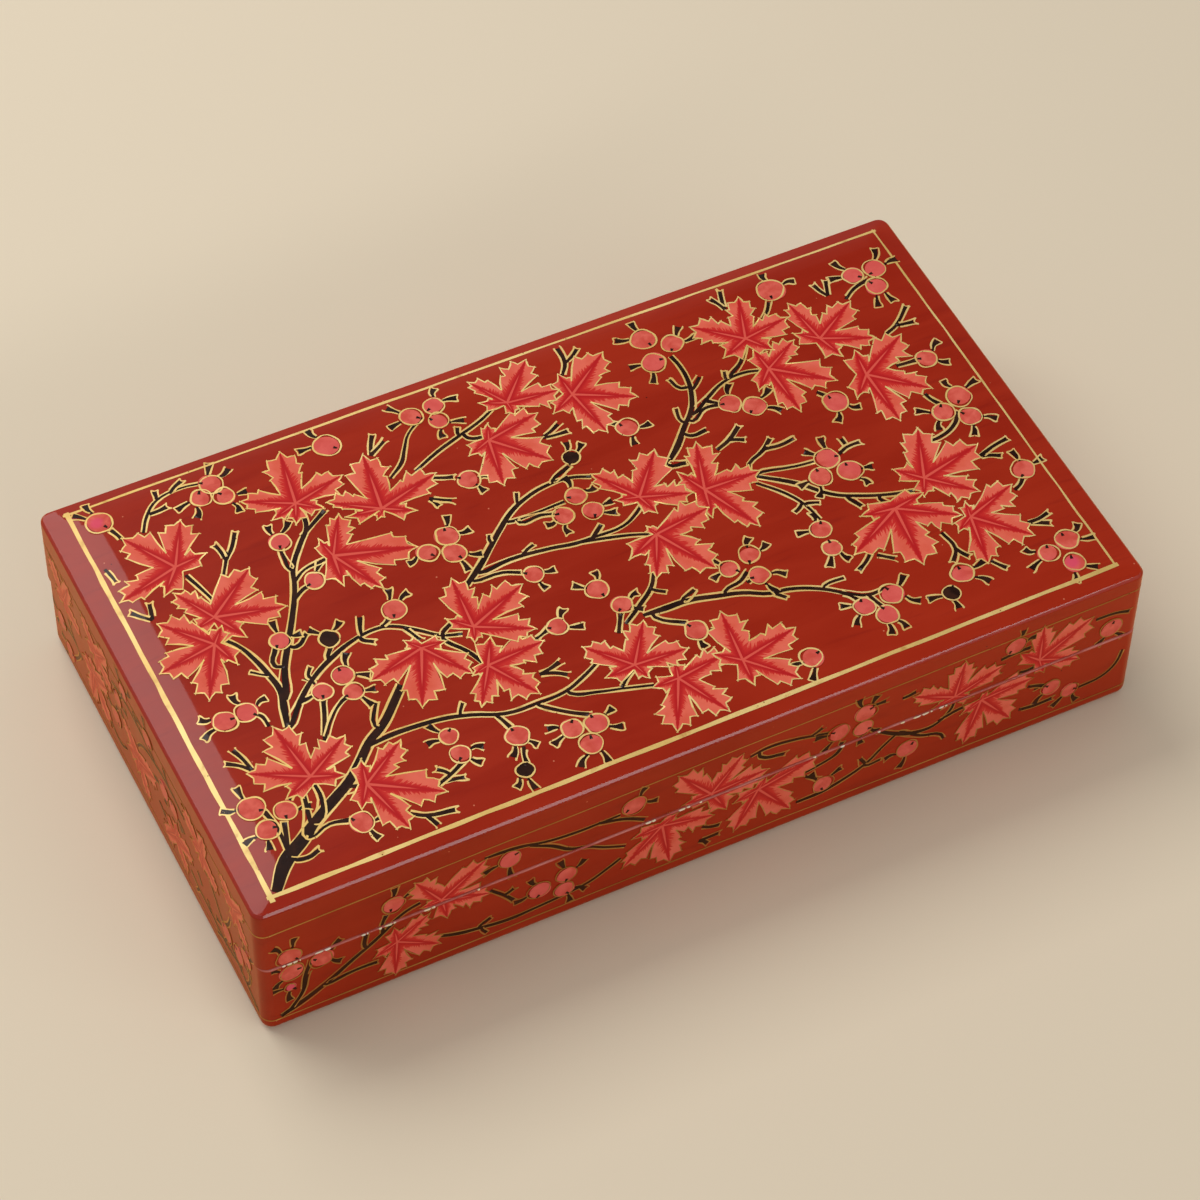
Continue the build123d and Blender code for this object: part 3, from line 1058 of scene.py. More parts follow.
topDesign = {
    "leaves": (
        (-79.5, 30.8, -86.5, 42.5, -73.7, 42, -93.2, 27, -72.4, 31.5, -84.5, 24.6),
        (-77.5, 15.2, -82.5, 24.5, -66, 24, -63.2, 11.5, -73.6, 7.7, -82.5, 13.8),
        (-80.2, 8.7, -88.6, 18.5, -93, 6.5, -86.7, -4, -78, 2, -77, 12.5),
        (-50.5, 35.8, -47.9, 50.2, -60.7, 41.2, -38.7, 38.7, -56.7, 33.7, -45.7, 32, -52.7, 30.5),
        (-35, 26.8, -32.5, 42, -44.7, 33.2, -20.8, 30.8, -28.7, 23.2, -42.7, 28, -37, 24.5),
        (-49.2, 19.5, -43.7, 29.3, -32.5, 14.2, -43.5, 7.2, -50.2, 25, -50.5, 11.2),
        (-76.2, -30, -78, -15.5, -87.2, -24, -66, -23.7, -82.7, -33, -69.7, -32.7),
        (-67, -36.5, -56.5, -29.5, -53.5, -45, -63.7, -50, -65.5, -30.5, -70.4, -41.7),
        (-43, -10.2, -55.7, -13.5, -49.2, -24, -36.5, -20.5, -45.5, -7, -37.7, -10.7),
        (-32.8, -20, -38.5, -29, -20, -19.2, -26.5, -31, -29.2, -13.5, -36.7, -21),
        (-31.2, -9.8, -30, 3.5, -17.5, -4, -20, -15.7, -35.5, -5.5, -32.7, -13.5),
        (1, 42, -4, 51, 10, 51.5, 12.5, 40.5, -4.5, 44.5, 1, 38.2),
        (14.5, 38.2, 25.7, 46.2, 26.7, 31.7, 16.5, 25.5, 14.2, 44.7, 8.5, 35),
        (-7, 34.2, 5.5, 36.7, 2.7, 23.5, -9.5, 21.5, -5.2, 38.5, -12.5, 32),
        (14.5, 6.5, 8.2, 16.5, 23.2, 16.7, 25, 2.7, 9.5, 8, 16, 1),
        (27.7, 2.5, 32, 15, 40.5, 2, 33.5, -11.2, 24.7, 9.2, 25.7, -5),
        (13.2, -4, 26.2, -2.2, 20.2, -17.5, 8, -14.5, 5.2, -7.7, 12.2, -1.2),
        (-6.2, -32.7, -13.7, -24, 0.5, -23.2, 5.5, -33.5, -13, -33.2, -5, -37),
        (0.2, -39.5, 12, -38, 5.7, -51.3, -6, -51.3, -5.5, -39.5, 1.7, -35.2),
        (14, -41, 15.7, -28, 27.5, -38.2, 22.5, -50.2, 9.2, -37, 13.2, -47.7),
        (55, 36.5, 59.2, 48, 45.7, 44.7, 66, 38.2, 48.2, 33.5, 59, 31),
        (69.5, 29.7, 68, 41.7, 80.5, 36.5, 80.5, 24.7, 65, 33.5, 71.5, 23),
        (55.5, 26.7, 64.2, 31.7, 67, 17.5, 56, 13, 50.7, 22, 55, 33),
        (73.5, 16.2, 85.7, 23.2, 84.2, 6.7, 73.7, 1.5, 68.5, 11, 74.5, 23.5),
        (70.5, -14.5, 76, -1.7, 85.2, -11.2, 79.2, -22.7, 65.7, -9.7, 68, -19),
        (61, -19.2, 47.5, -26.5, 59, -35, 72.5, -26.7, 53.5, -18, 68.2, -18),
        (74, -28, 86, -24, 83.5, -38, 71.2, -40.5, 69.7, -30.5, 75, -24),
    ),
    "limbs": (
        (3.8, 2.5, -93.3, -52.3, -88.5, -46.5, -84, -43.5, -80, -40.5, -74, -37, -70, -34.5, -66,
         -31, -62.5, -27.5, -58, -24.5, -53.5, -20, -50.5, -17),
        (1.7, 1.0, -63, -28, -58, -27.5, -52, -27.7, -46, -28.5, -41, -30, -35, -32.5, -28, -32.9,
         -22, -32.7, -17, -31, -12, -28.5),
        (1.3, 0.8, -21, -33.5, -16, -35.5, -11, -37, -5, -39),
        (2.3, 1.2, -75.5, -17, -74, -12, -73, -8, -73.5, -3, -74.5, 2, -76, 6, -78, 9),
        (2.0, 1.3, -73, -10, -70, -3, -67, 2, -63.5, 8, -61, 12.5, -59.5, 16, -58, 20, -54, 25.5,
         -51, 29, -50.2, 33.5),
        (1.8, 1.0, -75, -17, -70.5, -12, -66, -8, -60, -4.5, -54, -2.3, -49, -1.7, -46, -2.5, -42,
         -5.5, -38, -9, -34, -10.5),
        (2.0, 1.0, -28, 0.5, -24, 3.5, -19.5, 7.5, -15, 11.5, -11, 14.5, -7, 16.5, -2, 17.7, 4,
         17.5, 8, 16),
        (1.5, 1.0, -24, 2.5, -17, 3, -8, 2, -3, 1, 2, 0.8, 8, 1, 12, 3, 14, 4.5),
        (1.3, 0.8, -13, 12.3, -8, 12, 0, 12.2),
        (1.2, 0.8, -3, 1, 4, -0.5, 10, -2.5, 12, -3.5),
        (2.0, 1.2, 24.5, 12.5, 28, 15.5, 32, 20, 35, 23, 37, 26.5, 38.3, 31, 38.7, 36, 38.3, 39),
        (1.4, 0.9, 35, 22.3, 40, 25, 45, 27.5, 50, 28, 54, 27),
        (1.8, 1.1, 39.2, 0.9, 46, -4.5, 51, -10, 56, -13, 62, -15.3, 67, -16.7),
        (1.3, 0.8, 39.4, 1.6, 48, 0, 52, -0.5),
        (1.3, 0.8, 38.2, -0.6, 42.5, -6, 44.5, -10, 45.5, -15),
        (1.6, 1.1, -3, -22.5, 2, -19, 6, -16, 8, -13),
        (1.8, 1.0, 1, -22, 6, -22.3, 11, -22.5, 17, -24, 22, -25.5, 27, -28, 31, -28.7, 37, -31.5,
         41, -34.5, 45, -37, 49, -37),
        (1.2, 0.8, -71.5, 24.5, -69.5, 28, -68.5, 30),
        (1.1, 0.7, -82, 42, -79.5, 46, -76, 49, -70, 50, -66.5, 49.5),
        (1.1, 0.8, -30, 33.5, -26, 36.5, -24, 39.5, -21.5, 43, -17, 46),
        (1.3, 0.9, -24.5, 33, -18, 36, -12, 38, -6, 40, -2, 42.3),
    ),
    "twigs": (
        (-11, -36.7, -6.5, -33.5), (-28, -33.5, -23, -38, -20, -40), (-37, -31.5, -35.5, -36),
        (-35.2, -41.5, -36.5, -45.5), (-88, -46, -87, -43, -85.3, -38),
        (-87.5, -45.5, -87.2, -38, -87.8, -34), (-82.5, -43.5, -80, -37, -79, -32.5),
        (-79.5, -41, -76.5, -36, -76.2, -31), (-87.4, -46.8, -84.5, -47.6, -82, -46.9),
        (-82.4, -43.4, -77.5, -42.2, -73.5, -43), (-72.5, -35.5, -67.5, -36.5),
        (-71.5, -1.5, -69.5, 2.5), (-53, 27, -46, 31.5),
        (-59.5, 16.5, -56, 18.7, -52, 19.3, -49.5, 19.5), (-61.5, 12, -58.5, 14, -57, 14.5),
        (-58.5, 20, -58.5, 24, -58.2, 25.7), (-65.5, 1, -62.5, 3.2), (-61, -4.5, -59.5, -2),
        (-52.5, -1.5, -51, 2.5), (-44, -4, -42.3, -8), (-38, -10, -35, -15, -33.3, -19),
        (-37.5, -8.5, -35, -7), (-53, -3, -51, -4.5), (-70, -22.5, -67.5, -17, -66.2, -13.7),
        (-70, -23, -66, -18, -63, -15.5, -61.8, -15), (-78.5, -15, -79, -12, -80, -11),
        (-86, -23.5, -90, -20), (-86, -23.5, -87.5, -17.5), (-78.5, 28, -77.5, 24.5, -76, 19),
        (-69.5, 28, -70, 32.5), (-69.5, 28, -65, 34), (-89, 20, -92.3, 23.5), (-89, 20, -88, 24),
        (-76, 49, -75.5, 51.5), (-73, 49.7, -69.5, 51.8), (-79, 46.2, -75, 46.5),
        (-86.5, 42, -87.7, 45.5), (-92.8, 36.5, -92, 32.5), (-10.5, 36.5, -7.5, 35.5),
        (-22, 30, -18, 28.2), (-25, 25, -24, 22.5), (-25, 25, -21, 22.5), (-31, 41, -28.5, 46),
        (-31, 41, -27, 43.5), (15, 44, 17, 47, 17.5, 51.5), (17, 47, 21, 49.5),
        (17.5, 28, 19, 26.8), (3.5, 30, 8, 32), (3.5, 30, 9, 29.3), (0, 18.2, 5, 20.5),
        (-11, 11.2, -6, 11, -3.4, 10.2), (1, 1, 4, 3.2), (-26, 1, -20, 0.5, -16.5, -1),
        (47, 28.2, 51, 31, 54, 35), (34, 20.5, 38, 22.5, 41.5, 22.2), (32, 17, 35.5, 17),
        (24, 11.8, 27.5, 10.8), (35, 11, 38.5, 12.5, 42, 15), (38.5, 12.5, 41.5, 11.2),
        (38.6, 3.4, 44, 7, 46.5, 9), (44, 7, 51, 7), (53.5, -12, 55, -15.5),
        (57.5, -1, 60, 0, 63, 0), (60, 0, 60, 2.5), (59.5, -15.5, 61, -18),
        (19, -23.5, 23, -22.5, 25.5, -21), (24, -23.5, 26, -23), (3, -23.5, 8, -27.5),
        (45, -37.5, 46, -41), (40, -34, 42.5, -37.2), (-5.5, -24, -4, -21.5, -2.8, -19.5),
        (-24.5, -26.5, -19.5, -25.5), (-24.5, -26.5, -19.5, -29), (-21.5, -18.3, -18.3, -17),
        (-55, -43, -51, -41.5, -48, -39.8), (-53, -42.5, -49, -43.3), (-51, -41.5, -53, -39.3),
        (-62.5, -46.5, -59.5, -48.5, -54, -49.5), (-59.5, -48.5, -58.5, -51.3),
        (51, -27, 46.5, -30.5), (51.5, -28.5, 54.5, -31), (66.5, -29, 67, -34, 65, -36.8),
        (67, -34, 68.5, -37), (72, -40, 74, -43), (84, -34.5, 89, -34), (84, -34.5, 88, -36.5),
        (75.5, -6, 79, -6, 83, -4.5, 86, -1.5), (84, -14.3, 91.5, -12.5), (84, -14.3, 88, -16),
        (86, -25.5, 89, -23.5), (80, 37.5, 83, 39.5, 87, 40.5), (82.5, 24.5, 86, 26, 90.5, 30),
        (86, 26, 90, 25.3), (77, 40, 75.5, 44), (77, 40, 78.5, 44), (61, 40, 64.5, 43.8),
        (55, 46, 56.5, 51.3), (55, 46, 53.5, 50), (61.5, 16.5, 63, 14.2), (80.5, 15.7, 85.2, 15.3),
        (82, 6, 83.5, 2.3),
    ),
    "thorns": (
        (-43, -28.5, -41.5, -26.5), (-59.5, -24, -57, -19), (-74, -3, -76.5, -1),
        (-66.5, -7, -65.2, -5), (-48, -1.7, -46, -0.5), (-12, 38.5, -11.5, 40.2),
        (-9, 16, -8, 18.5), (-18.5, 8.5, -18, 10.7), (-14, 3, -11, 4.5), (32, 21.5, 32.5, 25),
        (36, 30, 35, 33), (38, 28.5, 41, 31), (46, 28, 46.5, 30), (45, -10, 47.5, -11),
        (44.3, -9.5, 41.8, -11), (6, -17, 8, -18.5), (10, -22, 13.5, -20.5),
        (27.5, -28, 29.5, -30.5), (38, -31, 42.5, -31),
    ),
    "berries": (
        (-89.1, 48.7, 2.7), (-64.5, 48.5, 2.4), (-68, 45.5, 2.2), (-62.7, 43.7, 2.2),
        (-38.4, 47.5, 2.8), (-57.7, 27.9, 2.2), (-55.4, 15.2, 2.1), (-68.2, 4, 2.1),
        (-31.7, 12.2, 2.2), (-26.2, 14.2, 2.5), (-26.5, 9.5, 2.4), (-43.7, 1.3, 2.5),
        (-86.2, -10, 2.5), (-81, -10, 2.3), (-89.7, -32.2, 2.7), (-83.7, -35.5, 2.3),
        (-89.2, -38.2, 2.4), (-71.9, -44.5, 2.4), (-65.4, -11.5, 2.1), (-60.1, -9.8, 2.3),
        (-60.2, -14.4, 2.1), (-47.4, -32.8, 2.0), (-47.1, -37.5, 2.1), (-35.4, -38.5, 2.4),
        (-19.2, 47.2, 2.4), (-13.4, 48.2, 2.2), (-14.5, 43.5, 2.1), (-15.7, 26.4, 2.4),
        (20.7, 24.6, 2.4), (2.8, 12.7, 2.2), (-1.6, 8.8, 2.2), (4.2, 7.6, 2.3), (-14.5, -2.7, 2.1),
        (-4.1, -12, 2.4), (-1.7, -17.4, 2.2), (-16.1, -17.1, 2.1), (9, -30, 2.4),
        (-24.7, -41.6, 2.3), (-19.6, -42.4, 2.4), (-22.8, -46.9, 2.4), (22.7, -18.9, 2.1),
        (27.9, -17.5, 2.3), (27.2, -22.9, 2.2), (27.1, -46.7, 2.3), (35, 45.6, 2.7),
        (34.2, 39.1, 2.6), (40.2, 41.9, 2.4), (66.7, 46.6, 3.0), (84.7, 43.1, 2.2),
        (90, 42.6, 2.5), (87.6, 37.7, 2.4), (43.6, 21.3, 2.4), (47.8, 18.5, 2.5),
        (63.9, 12.1, 2.7), (87.5, 14.9, 2.3), (88.4, 2.5, 2.7), (82.8, -0.1, 2.4),
        (87.6, -3.7, 2.4), (55, -1.2, 2.6), (51, -4.7, 2.4), (57.4, -6, 2.6), (44.6, -17.6, 2.3),
        (44.2, -22.7, 2.0), (42.8, -39.4, 2.2), (49.6, -39.1, 2.5), (46.1, -43.1, 2.4),
        (65.1, -40.7, 2.4), (83.4, -43.3, 2.2), (88.9, -42.2, 2.5), (90.5, -21.6, 2.5),
        (87.2, -48.1, 2.3),
    ),
    "blackBerries": (
        (-59, 0, 2.2), (-37.5, -46.9, 1.9), (6.4, 22.2, 1.9), (60.5, -43.9, 1.9),
    ),
}

# The front, with v as the height over the table. The back is its mirror image.

frontDesign = {
    "leaves": (
        (-60.5, 22, -66, 31.2, -50.5, 30, -50, 18.2, -65, 22, -59.5, 15.5),
        (-70.5, 14, -63.2, 19.5, -61, 7.5, -71.2, 2.9, -71, 19.2, -75.7, 11.5),
        (-11.7, 18, -20.5, 8.7, -9.7, 4.5, 0.2, 14.7, -18.5, 17.5, -8, 20.5),
        (-0.5, 22, -8.2, 32.5, 6.5, 31.5, 12.5, 23, -7, 22, 3, 15),
        (10.2, 17.5, 24, 21, 18, 6.3, 5, 6, 4.5, 16, 12, 21),
        (55.7, 22.5, 57.4, 33.5, 45.5, 28.2, 67, 27, 50.5, 21.5, 60, 20.5),
        (75.7, 23.7, 75.7, 35, 87.7, 31.5, 85.5, 19, 70.7, 28.5, 77, 19),
        (62.2, 18, 74.5, 18.7, 70, 7.5, 59, 5, 57.5, 15.5, 63.5, 20.5),
    ),
    "limbs": (
        (2.2, 1.0, -96, 4.2, -92, 6, -86, 9.5, -80, 14, -75, 17.5, -71, 21, -68, 23, -65, 23.8),
        (1.5, 0.9, -62, 10.5, -57, 8.5, -52.5, 7.5, -46, 6.5, -40, 6.8, -33, 7.5, -28, 8.5, -24,
         10.5, -21, 12.3),
        (1.4, 0.9, -51, 30.2, -47, 30, -43, 29.5, -38, 28, -31, 27, -25, 27, -21, 27),
        (1.3, 0.9, -41, 28.5, -36, 25.5, -32, 22, -28, 20.5, -25, 18.5, -20, 16),
        (1.3, 0.9, 8, 29.5, 12, 30.3, 18, 29.5, 22, 28.3, 26, 27),
        (1.6, 0.9, 19.5, 7.5, 25, 7.7, 30, 9, 36, 12, 39, 15, 42.5, 18),
        (1.8, 0.9, 38, 21, 43, 17.5, 48, 15.5, 52, 16, 55, 19, 55.5, 21),
        (1.2, 0.9, 43, 18, 48, 14, 53, 11.5, 54, 9.5),
        (1.2, 0.8, 86.5, 8.8, 92, 9.5, 95, 12, 96.3, 16),
    ),
    "twigs": (
        (-86, 9, -80, 10, -75, 9.8), (-94, 5, -91, 10, -90, 15), (-91, 10, -89, 19),
        (-73.5, 19, -72.5, 24), (-77.5, 17, -77, 20.5), (-50, 19, -47, 15.5, -45, 12.5),
        (-47, 15.5, -45, 16.5), (-26, 27, -20, 25, -15.5, 22.3), (22, 28.3, 24.5, 29.7),
        (10.5, 28, 16, 26), (21, 17, 26, 18, 28.5, 19.5, 29.5, 22), (21, 15.5, 24, 13),
        (52, 16.5, 57, 17.8, 61, 17.6), (88.5, 30, 93, 29.8, 96.5, 28.7), (72, 9, 80, 8.5),
        (73.5, 16, 78, 14), (66, 29, 73, 29.5), (71, 22, 75, 22), (-2.5, 12, 1.5, 10.5),
        (-3, 7.5, -1, 5.5), (-3, 7.5, 1.5, 7.5), (36, 30.5, 39, 30.5), (43, 29, 46, 29.5),
    ),
    "thorns": (
        (-52.5, 8, -50, 9.5), (-52, 7, -51, 5), (35, 11, 34, 14), (35.5, 11, 39, 11),
    ),
    "berries": (
        (-93, 23, 2.6), (-93.3, 18, 2.6), (-86.5, 18.7, 2.4), (-70.7, 27, 2.4), (-45.3, 26.7, 2.5),
        (-39, 12.3, 2.5), (-33, 14, 2.3), (-33.5, 9.3, 2.3), (-18, 28.5, 2.6), (25.3, 10.5, 2.4),
        (28.8, 25.8, 2.5), (34.2, 29, 2.6), (34.3, 24.3, 2.3), (45.2, 11, 2.5), (69.2, 31.8, 2.4),
        (92.8, 25, 2.6), (79.5, 12.5, 2.2), (84, 9.3, 2.0), (-93.4, 13, 1.2),
    ),
}

# The left end, drawn as it is looked at from the left. The right end is its mirror image.

endDesign = {
    "leaves": (
        (-45, 24, -51.5, 32, -40.5, 33, -35.5, 22.5, -50, 22, -43, 18.5),
        (-27, 26.5, -33.5, 33, -19.5, 33.2, -18, 24, -32.5, 25.5, -26.5, 20.5),
        (-31, 15.5, -22.5, 19.5, -23, 7, -33.5, 5, -37.5, 15, -32, 20.5),
        (-7, 14.5, -14, 22, 3.5, 20, -2.5, 6, -13.5, 12.5, -8.5, 8.5),
        (12.5, 12.5, 6, 6, 18, 5.8, 22, 16, 7, 14, 14, 18.5),
        (28.5, 26.5, 19.5, 31.5, 30.5, 34, 37, 23, 23, 24.5, 29, 20.5),
        (44.5, 28, 38, 32.5, 50.5, 33.5, 51.5, 22.5, 39, 27.5, 44.5, 22),
    ),
    "limbs": (
        (2.0, 1.0, 53.5, 4.2, 48, 6.5, 42, 9, 37, 13, 33, 18, 30, 22),
        (1.5, 0.9, 44, 8, 36, 7, 30, 8, 24, 8.5, 20, 10),
        (1.4, 0.9, 20, 27, 12, 28.5, 5, 27.5, -2, 25, -6, 20),
        (1.3, 0.9, 5, 28, -4, 29.5, -12, 29.5, -18, 28),
        (1.3, 0.9, -14, 10, -18, 7.5, -23, 9),
        (1.2, 0.9, -38, 12, -42, 14, -45, 18),
    ),
    "twigs": (
        (37, 13, 40, 17, 41.5, 21), (48, 6.5, 50, 10, 49.5, 14), (42, 9, 44, 13),
        (12, 28.5, 10, 31.5), (-4, 29.5, -6, 32), (4, 14, 7, 12.5), (-42, 14, -47, 13.5),
        (-40, 11, -43, 7), (26, 12, 24, 14.5), (36, 7, 33, 5.2),
    ),
    "thorns": (
        (30, 8, 28.5, 10.5), (-12, 29.5, -13.5, 27.5), (24, 8.5, 22.5, 6.5),
    ),
    "berries": (
        (38.5, 12, 2.4), (45, 12.5, 2.4), (49, 16.5, 2.3), (-49.5, 12.5, 2.4), (-46, 5.8, 2.3),
        (1.5, 31.5, 2.3), (-11, 32.3, 2.1), (9, 23.5, 2.4), (14, 23, 2.3), (-18.5, 15.5, 2.3),
        (-15, 25.5, 2.2),
    ),
}


# Laying the films on the box

sides = {
    # turn about Z, which of its skin's half-sizes the face stands at, whether its upper gold line
    # rises or falls, and at which end of that slope it lies
    "front": (0, 1, 1, 0),
    "right": (90, 0, 0, 1),
    "back": (180, 1, -1, 0),
    "left": (270, 0, 0, -1),
}
paintedHeights = {"base": (2.3, 20.54), "lid": (21.36, 38.4)}  # short of every rounded edge


def layOnTop(bm):
    for point in bm.verts:
        point.co.z += crownHeight(point.co.x, point.co.y)
        point.co *= mm


def fillHoles(bm):
    bmesh.ops.holes_fill(bm, edges=[edge for edge in bm.edges if edge.is_boundary])


def trimToFace(bm, side, body):
    # the lid keeps what is painted over the seam, the base what is under it
    across = skins[body + "Half"][1 - sides[side][1]] - skins["cornerRadius"] + 0.3
    low, high = paintedHeights[body]
    for spot, outward in (((across, 0, 0), (1, 0, 0)), ((-across, 0, 0), (-1, 0, 0)),
                          ((0, high, 0), (0, 1, 0)), ((0, low, 0), (0, -1, 0))):
        sliced(bm, spot, outward, 0.0001, keepAll=False)
        fillHoles(bm)


def layOnSide(bm, side, body):
    # u, v, height on the sheet become along, up and outward on the face
    turn, axis = sides[side][:2]
    upright = Matrix(((1, 0, 0), (0, 0, -1), (0, 1, 0))).to_4x4()
    place = (Matrix.Translation((*skins[body + "Shift"], 0))
             @ Matrix.Rotation(math.radians(turn), 4, "Z")
             @ Matrix.Translation((0, -skins[body + "Half"][axis], 0)) @ upright)
    bmesh.ops.transform(bm, matrix=Matrix.Scale(mm, 4) @ place, verts=bm.verts[:])


def filmPiece(name, parts, body, colour):
    whole = bmesh.new()
    for part in parts:
        pour(part, whole)
    bmesh.ops.recalc_face_normals(whole, faces=whole.faces[:])
    shaded(whole)
    addPiece(name, whole, body, colour)


# The lid's top

border = {
    # start, middle and end of each gold line, and its width
    "left": ((-94.75, -54.2), (-94.5, 0), (-94.25, 54.3), 1.0),
    "front": ((-95.5, -53.0), (-20, -52.6), (95.3, -52.0), 0.92),
    "back": ((-95.1, 53.6), (0, 53.5), (95.8, 53.0), 0.6),
    "right": ((95.25, 53.6), (95.0, 0), (94.6, -52.4), 0.45),
}
borderSteps = 26
spraySize = 3  # leaves in one piece


def ruledLine(strokes, start, middle, end, width):
    # a long line drawn freehand along a straight edge
    points = []
    for step in range(borderSteps + 1):
        share = step / borderSteps * 2
        first, second = (start, middle) if share < 1 else (middle, end)
        points.append([near + (far - near) * (share - (share >= 1))
                       for near, far in zip(first, second)])
    drawStroke(strokes, films["dark"], points,
               [uneven(width, lineWork["unevenRule"][0]) for _ in points], wander=0.07)


def paintTop():
    top = paintedFace(topDesign)
    for line in border.values():
        ruledLine(top.gold, *line)
    layers = [
        ("gold_edging", top.strokesFilm(top.edging), "gold"),
        ("gold_lines", top.strokesFilm(top.gold, top.outlines), "gold"),
        ("dark_branches", top.darkFilm(), "dark"),
        ("berries", top.berryFilm(top.berries), "berry"),
    ]
    for first in range(0, len(topDesign["leaves"]), spraySize):
        film = top.leafFilm(range(first, first + spraySize))
        layers.append((f"leaves_{first // spraySize + 1}", film, "leaf"))
    for name, film, colour in layers:
        layOnTop(film)
        filmPiece("lid_top_" + name, [film], "lid", colour)


paintTop()
print("top painted")


# The four sides

sideLines = {
    "upper": 33.6,  # heights of the two gold lines
    "lower": 3.7,
    "width": 0.36,
    "breadth": 0.74,  # of the gold work on the sides, against the top's
    "sag": 1.2,  # the upper line sinks towards the front left corner
    "sway": 0.3,  # of the lower line
    "steps": 24,
    "sink": 0.2,  # round the corners, how deep a line reaches into the skin
    "cornerSteps": 8,
    "boxHalf": (100, 57),
    "reach": (97.2, 54.1),  # where the lines round the corners take over
}


def sideHeight(side, u, which):
    _, axis, slope, level = sides[side]
    share = u / sideLines["boxHalf"][1 - axis]
    if which == "lower":
        return sideLines["lower"] + sideLines["sway"] * math.cos(share * 3)
    return sideLines["upper"] + sideLines["sag"] * (slope * share + level)


def sideLine(strokes, side, which):
    half = sideLines["reach"][1 - sides[side][1]]
    points = []
    for step in range(sideLines["steps"] + 1):
        u = -half + 2 * half * step / sideLines["steps"]
        points.append((u, sideHeight(side, u, which)))
    drawStroke(strokes, films["dark"], points,
               [uneven(sideLines["width"], lineWork["unevenRule"][1]) for _ in points],
               wander=0.07)


def cornerLines(body, which):
    # the gold lines run on round the upright corners
    half, shift, radius = skins[body + "Half"], skins[body + "Shift"], skins["cornerRadius"]
    bm = bmesh.new()
    for corner, (side, signs) in enumerate(
            (("front", (1, -1)), ("right", (1, 1)), ("back", (-1, 1)), ("left", (-1, -1)))):
        centre = Vector([sign * (size - radius) + move
                         for sign, size, move in zip(signs, half, shift)] + [0])
        height = sideHeight(side, sideLines["boxHalf"][1 - sides[side][1]], which)
        start = math.radians(-90 + 90 * corner)
        # a slim band, spun round the corner
        band = bmesh.ops.create_grid(bm, x_segments=1, y_segments=1, size=1)["verts"]
        for point in band:
            reach = radius + (films["dark"] if point.co.x > 0 else -sideLines["sink"])
            point.co = Vector((math.cos(start) * reach, math.sin(start) * reach,
                               height + point.co.y * sideLines["width"] / 2)) + centre
        bmesh.ops.spin(bm, geom=[band[0].link_faces[0]], cent=centre, axis=(0, 0, 1),
                       angle=math.radians(90), steps=sideLines["cornerSteps"],
                       use_merge=False, use_duplicate=False)
    bmesh.ops.scale(bm, vec=(mm, mm, mm), verts=bm.verts[:])
    fillHoles(bm)
    return bm


def paintSides():
    painted = {}
    for side, design, mirror in (("front", frontDesign, 1), ("right", endDesign, -1),
                                 ("back", frontDesign, -1), ("left", endDesign, 1)):
        face = painted[side] = paintedFace(design, mirror, sideLines["breadth"])
        sideLine(face.gold, side, "upper")
        sideLine(face.gold, side, "lower")
    colours = {"gold_lines": "sideGoldShaded", "gold_edging": "sideGoldShaded", "dark_branches": "dark",
               "leaves": "leaf", "berries": "berry"}
    for body, which in (("lid", "upper"), ("base", "lower")):
        layers = {layer: [] for layer in colours}
        layers["gold_lines"].append(cornerLines(body, which))
        for side, face in painted.items():
            sheets = (face.strokesFilm(face.gold, face.outlines), face.strokesFilm(face.edging),
                      face.darkFilm(), face.leafFilm(range(len(face.leaves))),
                      face.berryFilm(face.berries))
            for layer, film in zip(layers.values(), sheets):
                trimToFace(film, side, body)
                layOnSide(film, side, body)
                layer.append(film)
        for layer, parts in layers.items():
            filmPiece(f"{body}_side_{layer}", parts, body, colours[layer])


paintSides()
print("sides painted")


# Gold that gathered on the base's rounded rim, rubbed down to broken flecks, coloured near-white
# as a painted highlight

flecks = {
    # from where to where along each side
    "front": (-95, -91, -88, -84.5, -78, -76.5, -74.3, -73.6, -73, -70.5, -64.5, -62, -52.8, -52.2,
              -15.5, -13, -8, -5, -3.3, -2.7, 22.7, 23.4, 29, 30, 37.7, 38.3, 43, 44, 46, 50.5,
              52, 54.5),
    "left": (-49, -46, -30, -29, -12, -10, 20, 23, 41, 42.5),
    "right": (-44, -42, -20, -19, 6, 9, 31, 33),
    "back": (-70, -67, -41, -40, -18, -14, 12, 13, 39, 43, 77, 79),
    "width": 0.5,
    "height": 20.78,  # on the rim's arc, which leans back this far from the face
    "lean": 0.06,
    "length": 1.6,  # of one fleck
    "form": ((0, 0.3), (0.2, 0.9), (0.75, 1), (1, 0.35)),  # place along it, and thickness there
    "gap": (0.08, 0.4),
}


def makeFlecks():
    parts = []
    for side in sides:
        curve = newCurve(flecks["width"] / 2)
        for place, end in pairs(flecks[side]):
            while place < end - 0.2:
                reach = min(end - place, flecks["length"] * hand.uniform(0.35, 1.2))
                spline = curve.splines.new("POLY")
                spline.points.add(len(flecks["form"]) - 1)
                for knot, (part, thickness) in zip(spline.points, flecks["form"]):
                    knot.co = (place + reach * part, flecks["height"] + jitter(0.03),
                               -flecks["lean"] + jitter(0.02), 1)
                    knot.radius = thickness * hand.uniform(0.6, 1)
                place += reach + hand.uniform(*flecks["gap"])
        bars = tubesOf(curve)
        layOnSide(bars, side, "base")
        parts.append(bars)
    filmPiece("base_rim_flecks", parts, "base", "fleck")


makeFlecks()
print("flecks laid")


# The carcass, liners and linings keep their CAD shapes

carcass = {"liner_": "liner", "_lining": "velvet", "_board": "poplar", "_panel": "poplar"}

for node in frame["nodes"]:
    for part, material in carcass.items():
        if part in node:
            for slot in frame["nodes"][node].material_slots:
                slot.material = finish[material]
            break
print("carcass dressed")


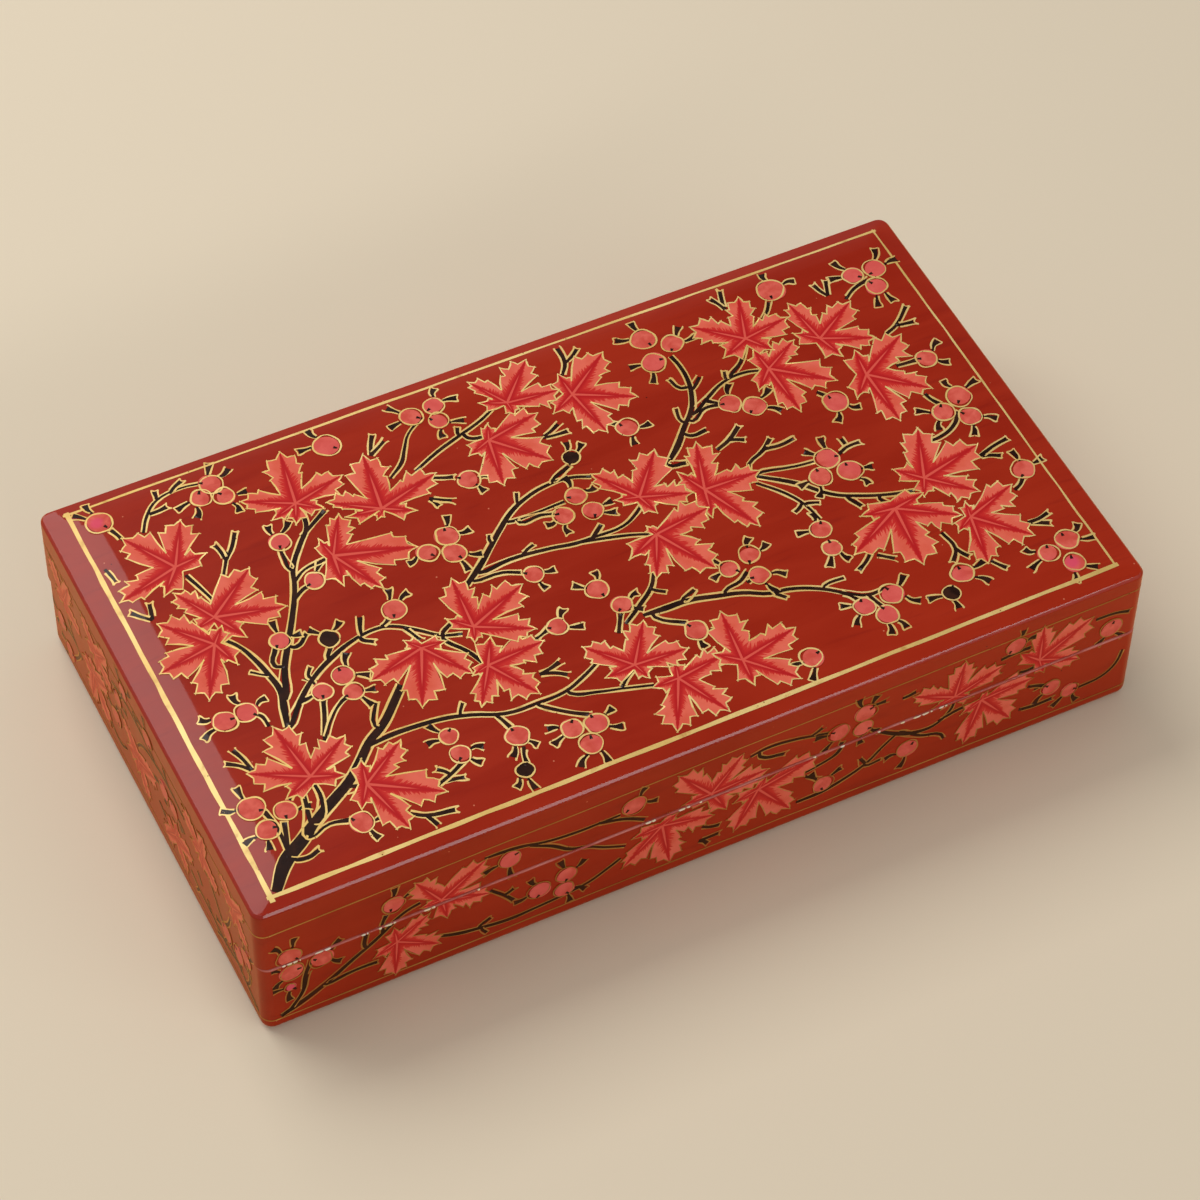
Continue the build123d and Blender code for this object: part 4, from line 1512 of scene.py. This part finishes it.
# Floor, sky and lamps

studio = {
    "floorSize": 6.0,
    "floorTint": (226, 211, 186),
    "floorGloss": (230, 172, 116),  # warmer where lacquer mirrors it
    "floorSheen": 0.1,
    "skyLow": 0.8,  # what gloss sees near the horizon
    "skyHigh": 0.1,  # and overhead
    "skyTurn": (0.6, 0.77),  # between which it changes, as heights on a sphere of radius 1
    "skyLean": 0.2,  # the sky stays light higher up on the left
    "skyFill": 0.38,  # even light on the object
}

softboxes = {
    # place, aim, width, height (m), radiance
    "backWindow": ((-0.367, 0.62, 0.88), (-0.367, 0.0, 0.04), 0.92, 0.56, 4.3),
    "frontPanel": ((0.34, -1.0, 0.53), (0.0, 0.0, 0.02), 1.3, 0.1, 8.5),
    "topPanel": ((-0.25, 0.25, 1.35), (0.0, 0.0, 0.02), 0.8, 0.5, 1.2),
}


def makeFloor():
    bm = bmesh.new()
    bmesh.ops.create_grid(bm, x_segments=1, y_segments=1, size=studio["floorSize"] / 2)
    mesh = bpy.data.meshes.new("floor")
    bm.to_mesh(mesh)
    bm.free()
    floor = addObject("floor", mesh)
    recipe = finishRecipe("paleFloor")
    mirrored = recipe.add("LightPath").outputs["Is Glossy Ray"]
    recipe.set(Base_Color=recipe.blend(mirrored, studio["floorTint"], studio["floorGloss"]),
               Roughness=0.9, Specular_IOR_Level=studio["floorSheen"])
    mesh.materials.append(recipe.material)


def makeSky():
    # the object gets an even light, and the camera and all gloss see a sky
    world = bpy.data.worlds.new("studioSky")
    bpy.context.scene.world = world
    kit = nodeKit(world)
    direction = kit.split(kit.coords("Generated"))
    slope = kit.sum("MULTIPLY_ADD", direction[0], studio["skyLean"], direction[2])
    seen = kit.fade(slope, *studio["skyTurn"], studio["skyLow"], studio["skyHigh"])
    path = kit.add("LightPath").outputs
    either = kit.sum("MAXIMUM", path["Is Camera Ray"], path["Is Glossy Ray"])
    mix = kit.add("MixShader")
    kit.feed(mix.inputs[0], kit.sum("MAXIMUM", either, path["Is Transmission Ray"]))
    lights = (kit.tree.nodes["Background"], kit.add("Background"))
    for socket, light, strength in zip(mix.inputs[1:3], lights, (studio["skyFill"], seen)):
        light.inputs[0].default_value = (1, 1, 1, 1)
        kit.feed(light.inputs[1], strength)
        kit.feed(socket, light.outputs[0])
    kit.feed(kit.tree.nodes["World Output"].inputs[0], mix.outputs[0])


def makeSoftbox(name, place, aim, width, height, radiance):
    lamp = bpy.data.lights.new(name, "AREA")
    lamp.shape = "RECTANGLE"
    lamp.size, lamp.size_y = width, height
    lamp.energy = radiance * math.pi * width * height
    box = addObject(name, lamp)
    box.location = place
    box.rotation_euler = (Vector(aim) - Vector(place)).to_track_quat("-Z", "Y").to_euler()


makeFloor()
makeSky()
for name, setting in softboxes.items():
    makeSoftbox(name, *setting)
bpy.context.scene.view_settings.view_transform = "Standard"
print("studio lit")

bpy.context.view_layer.update()
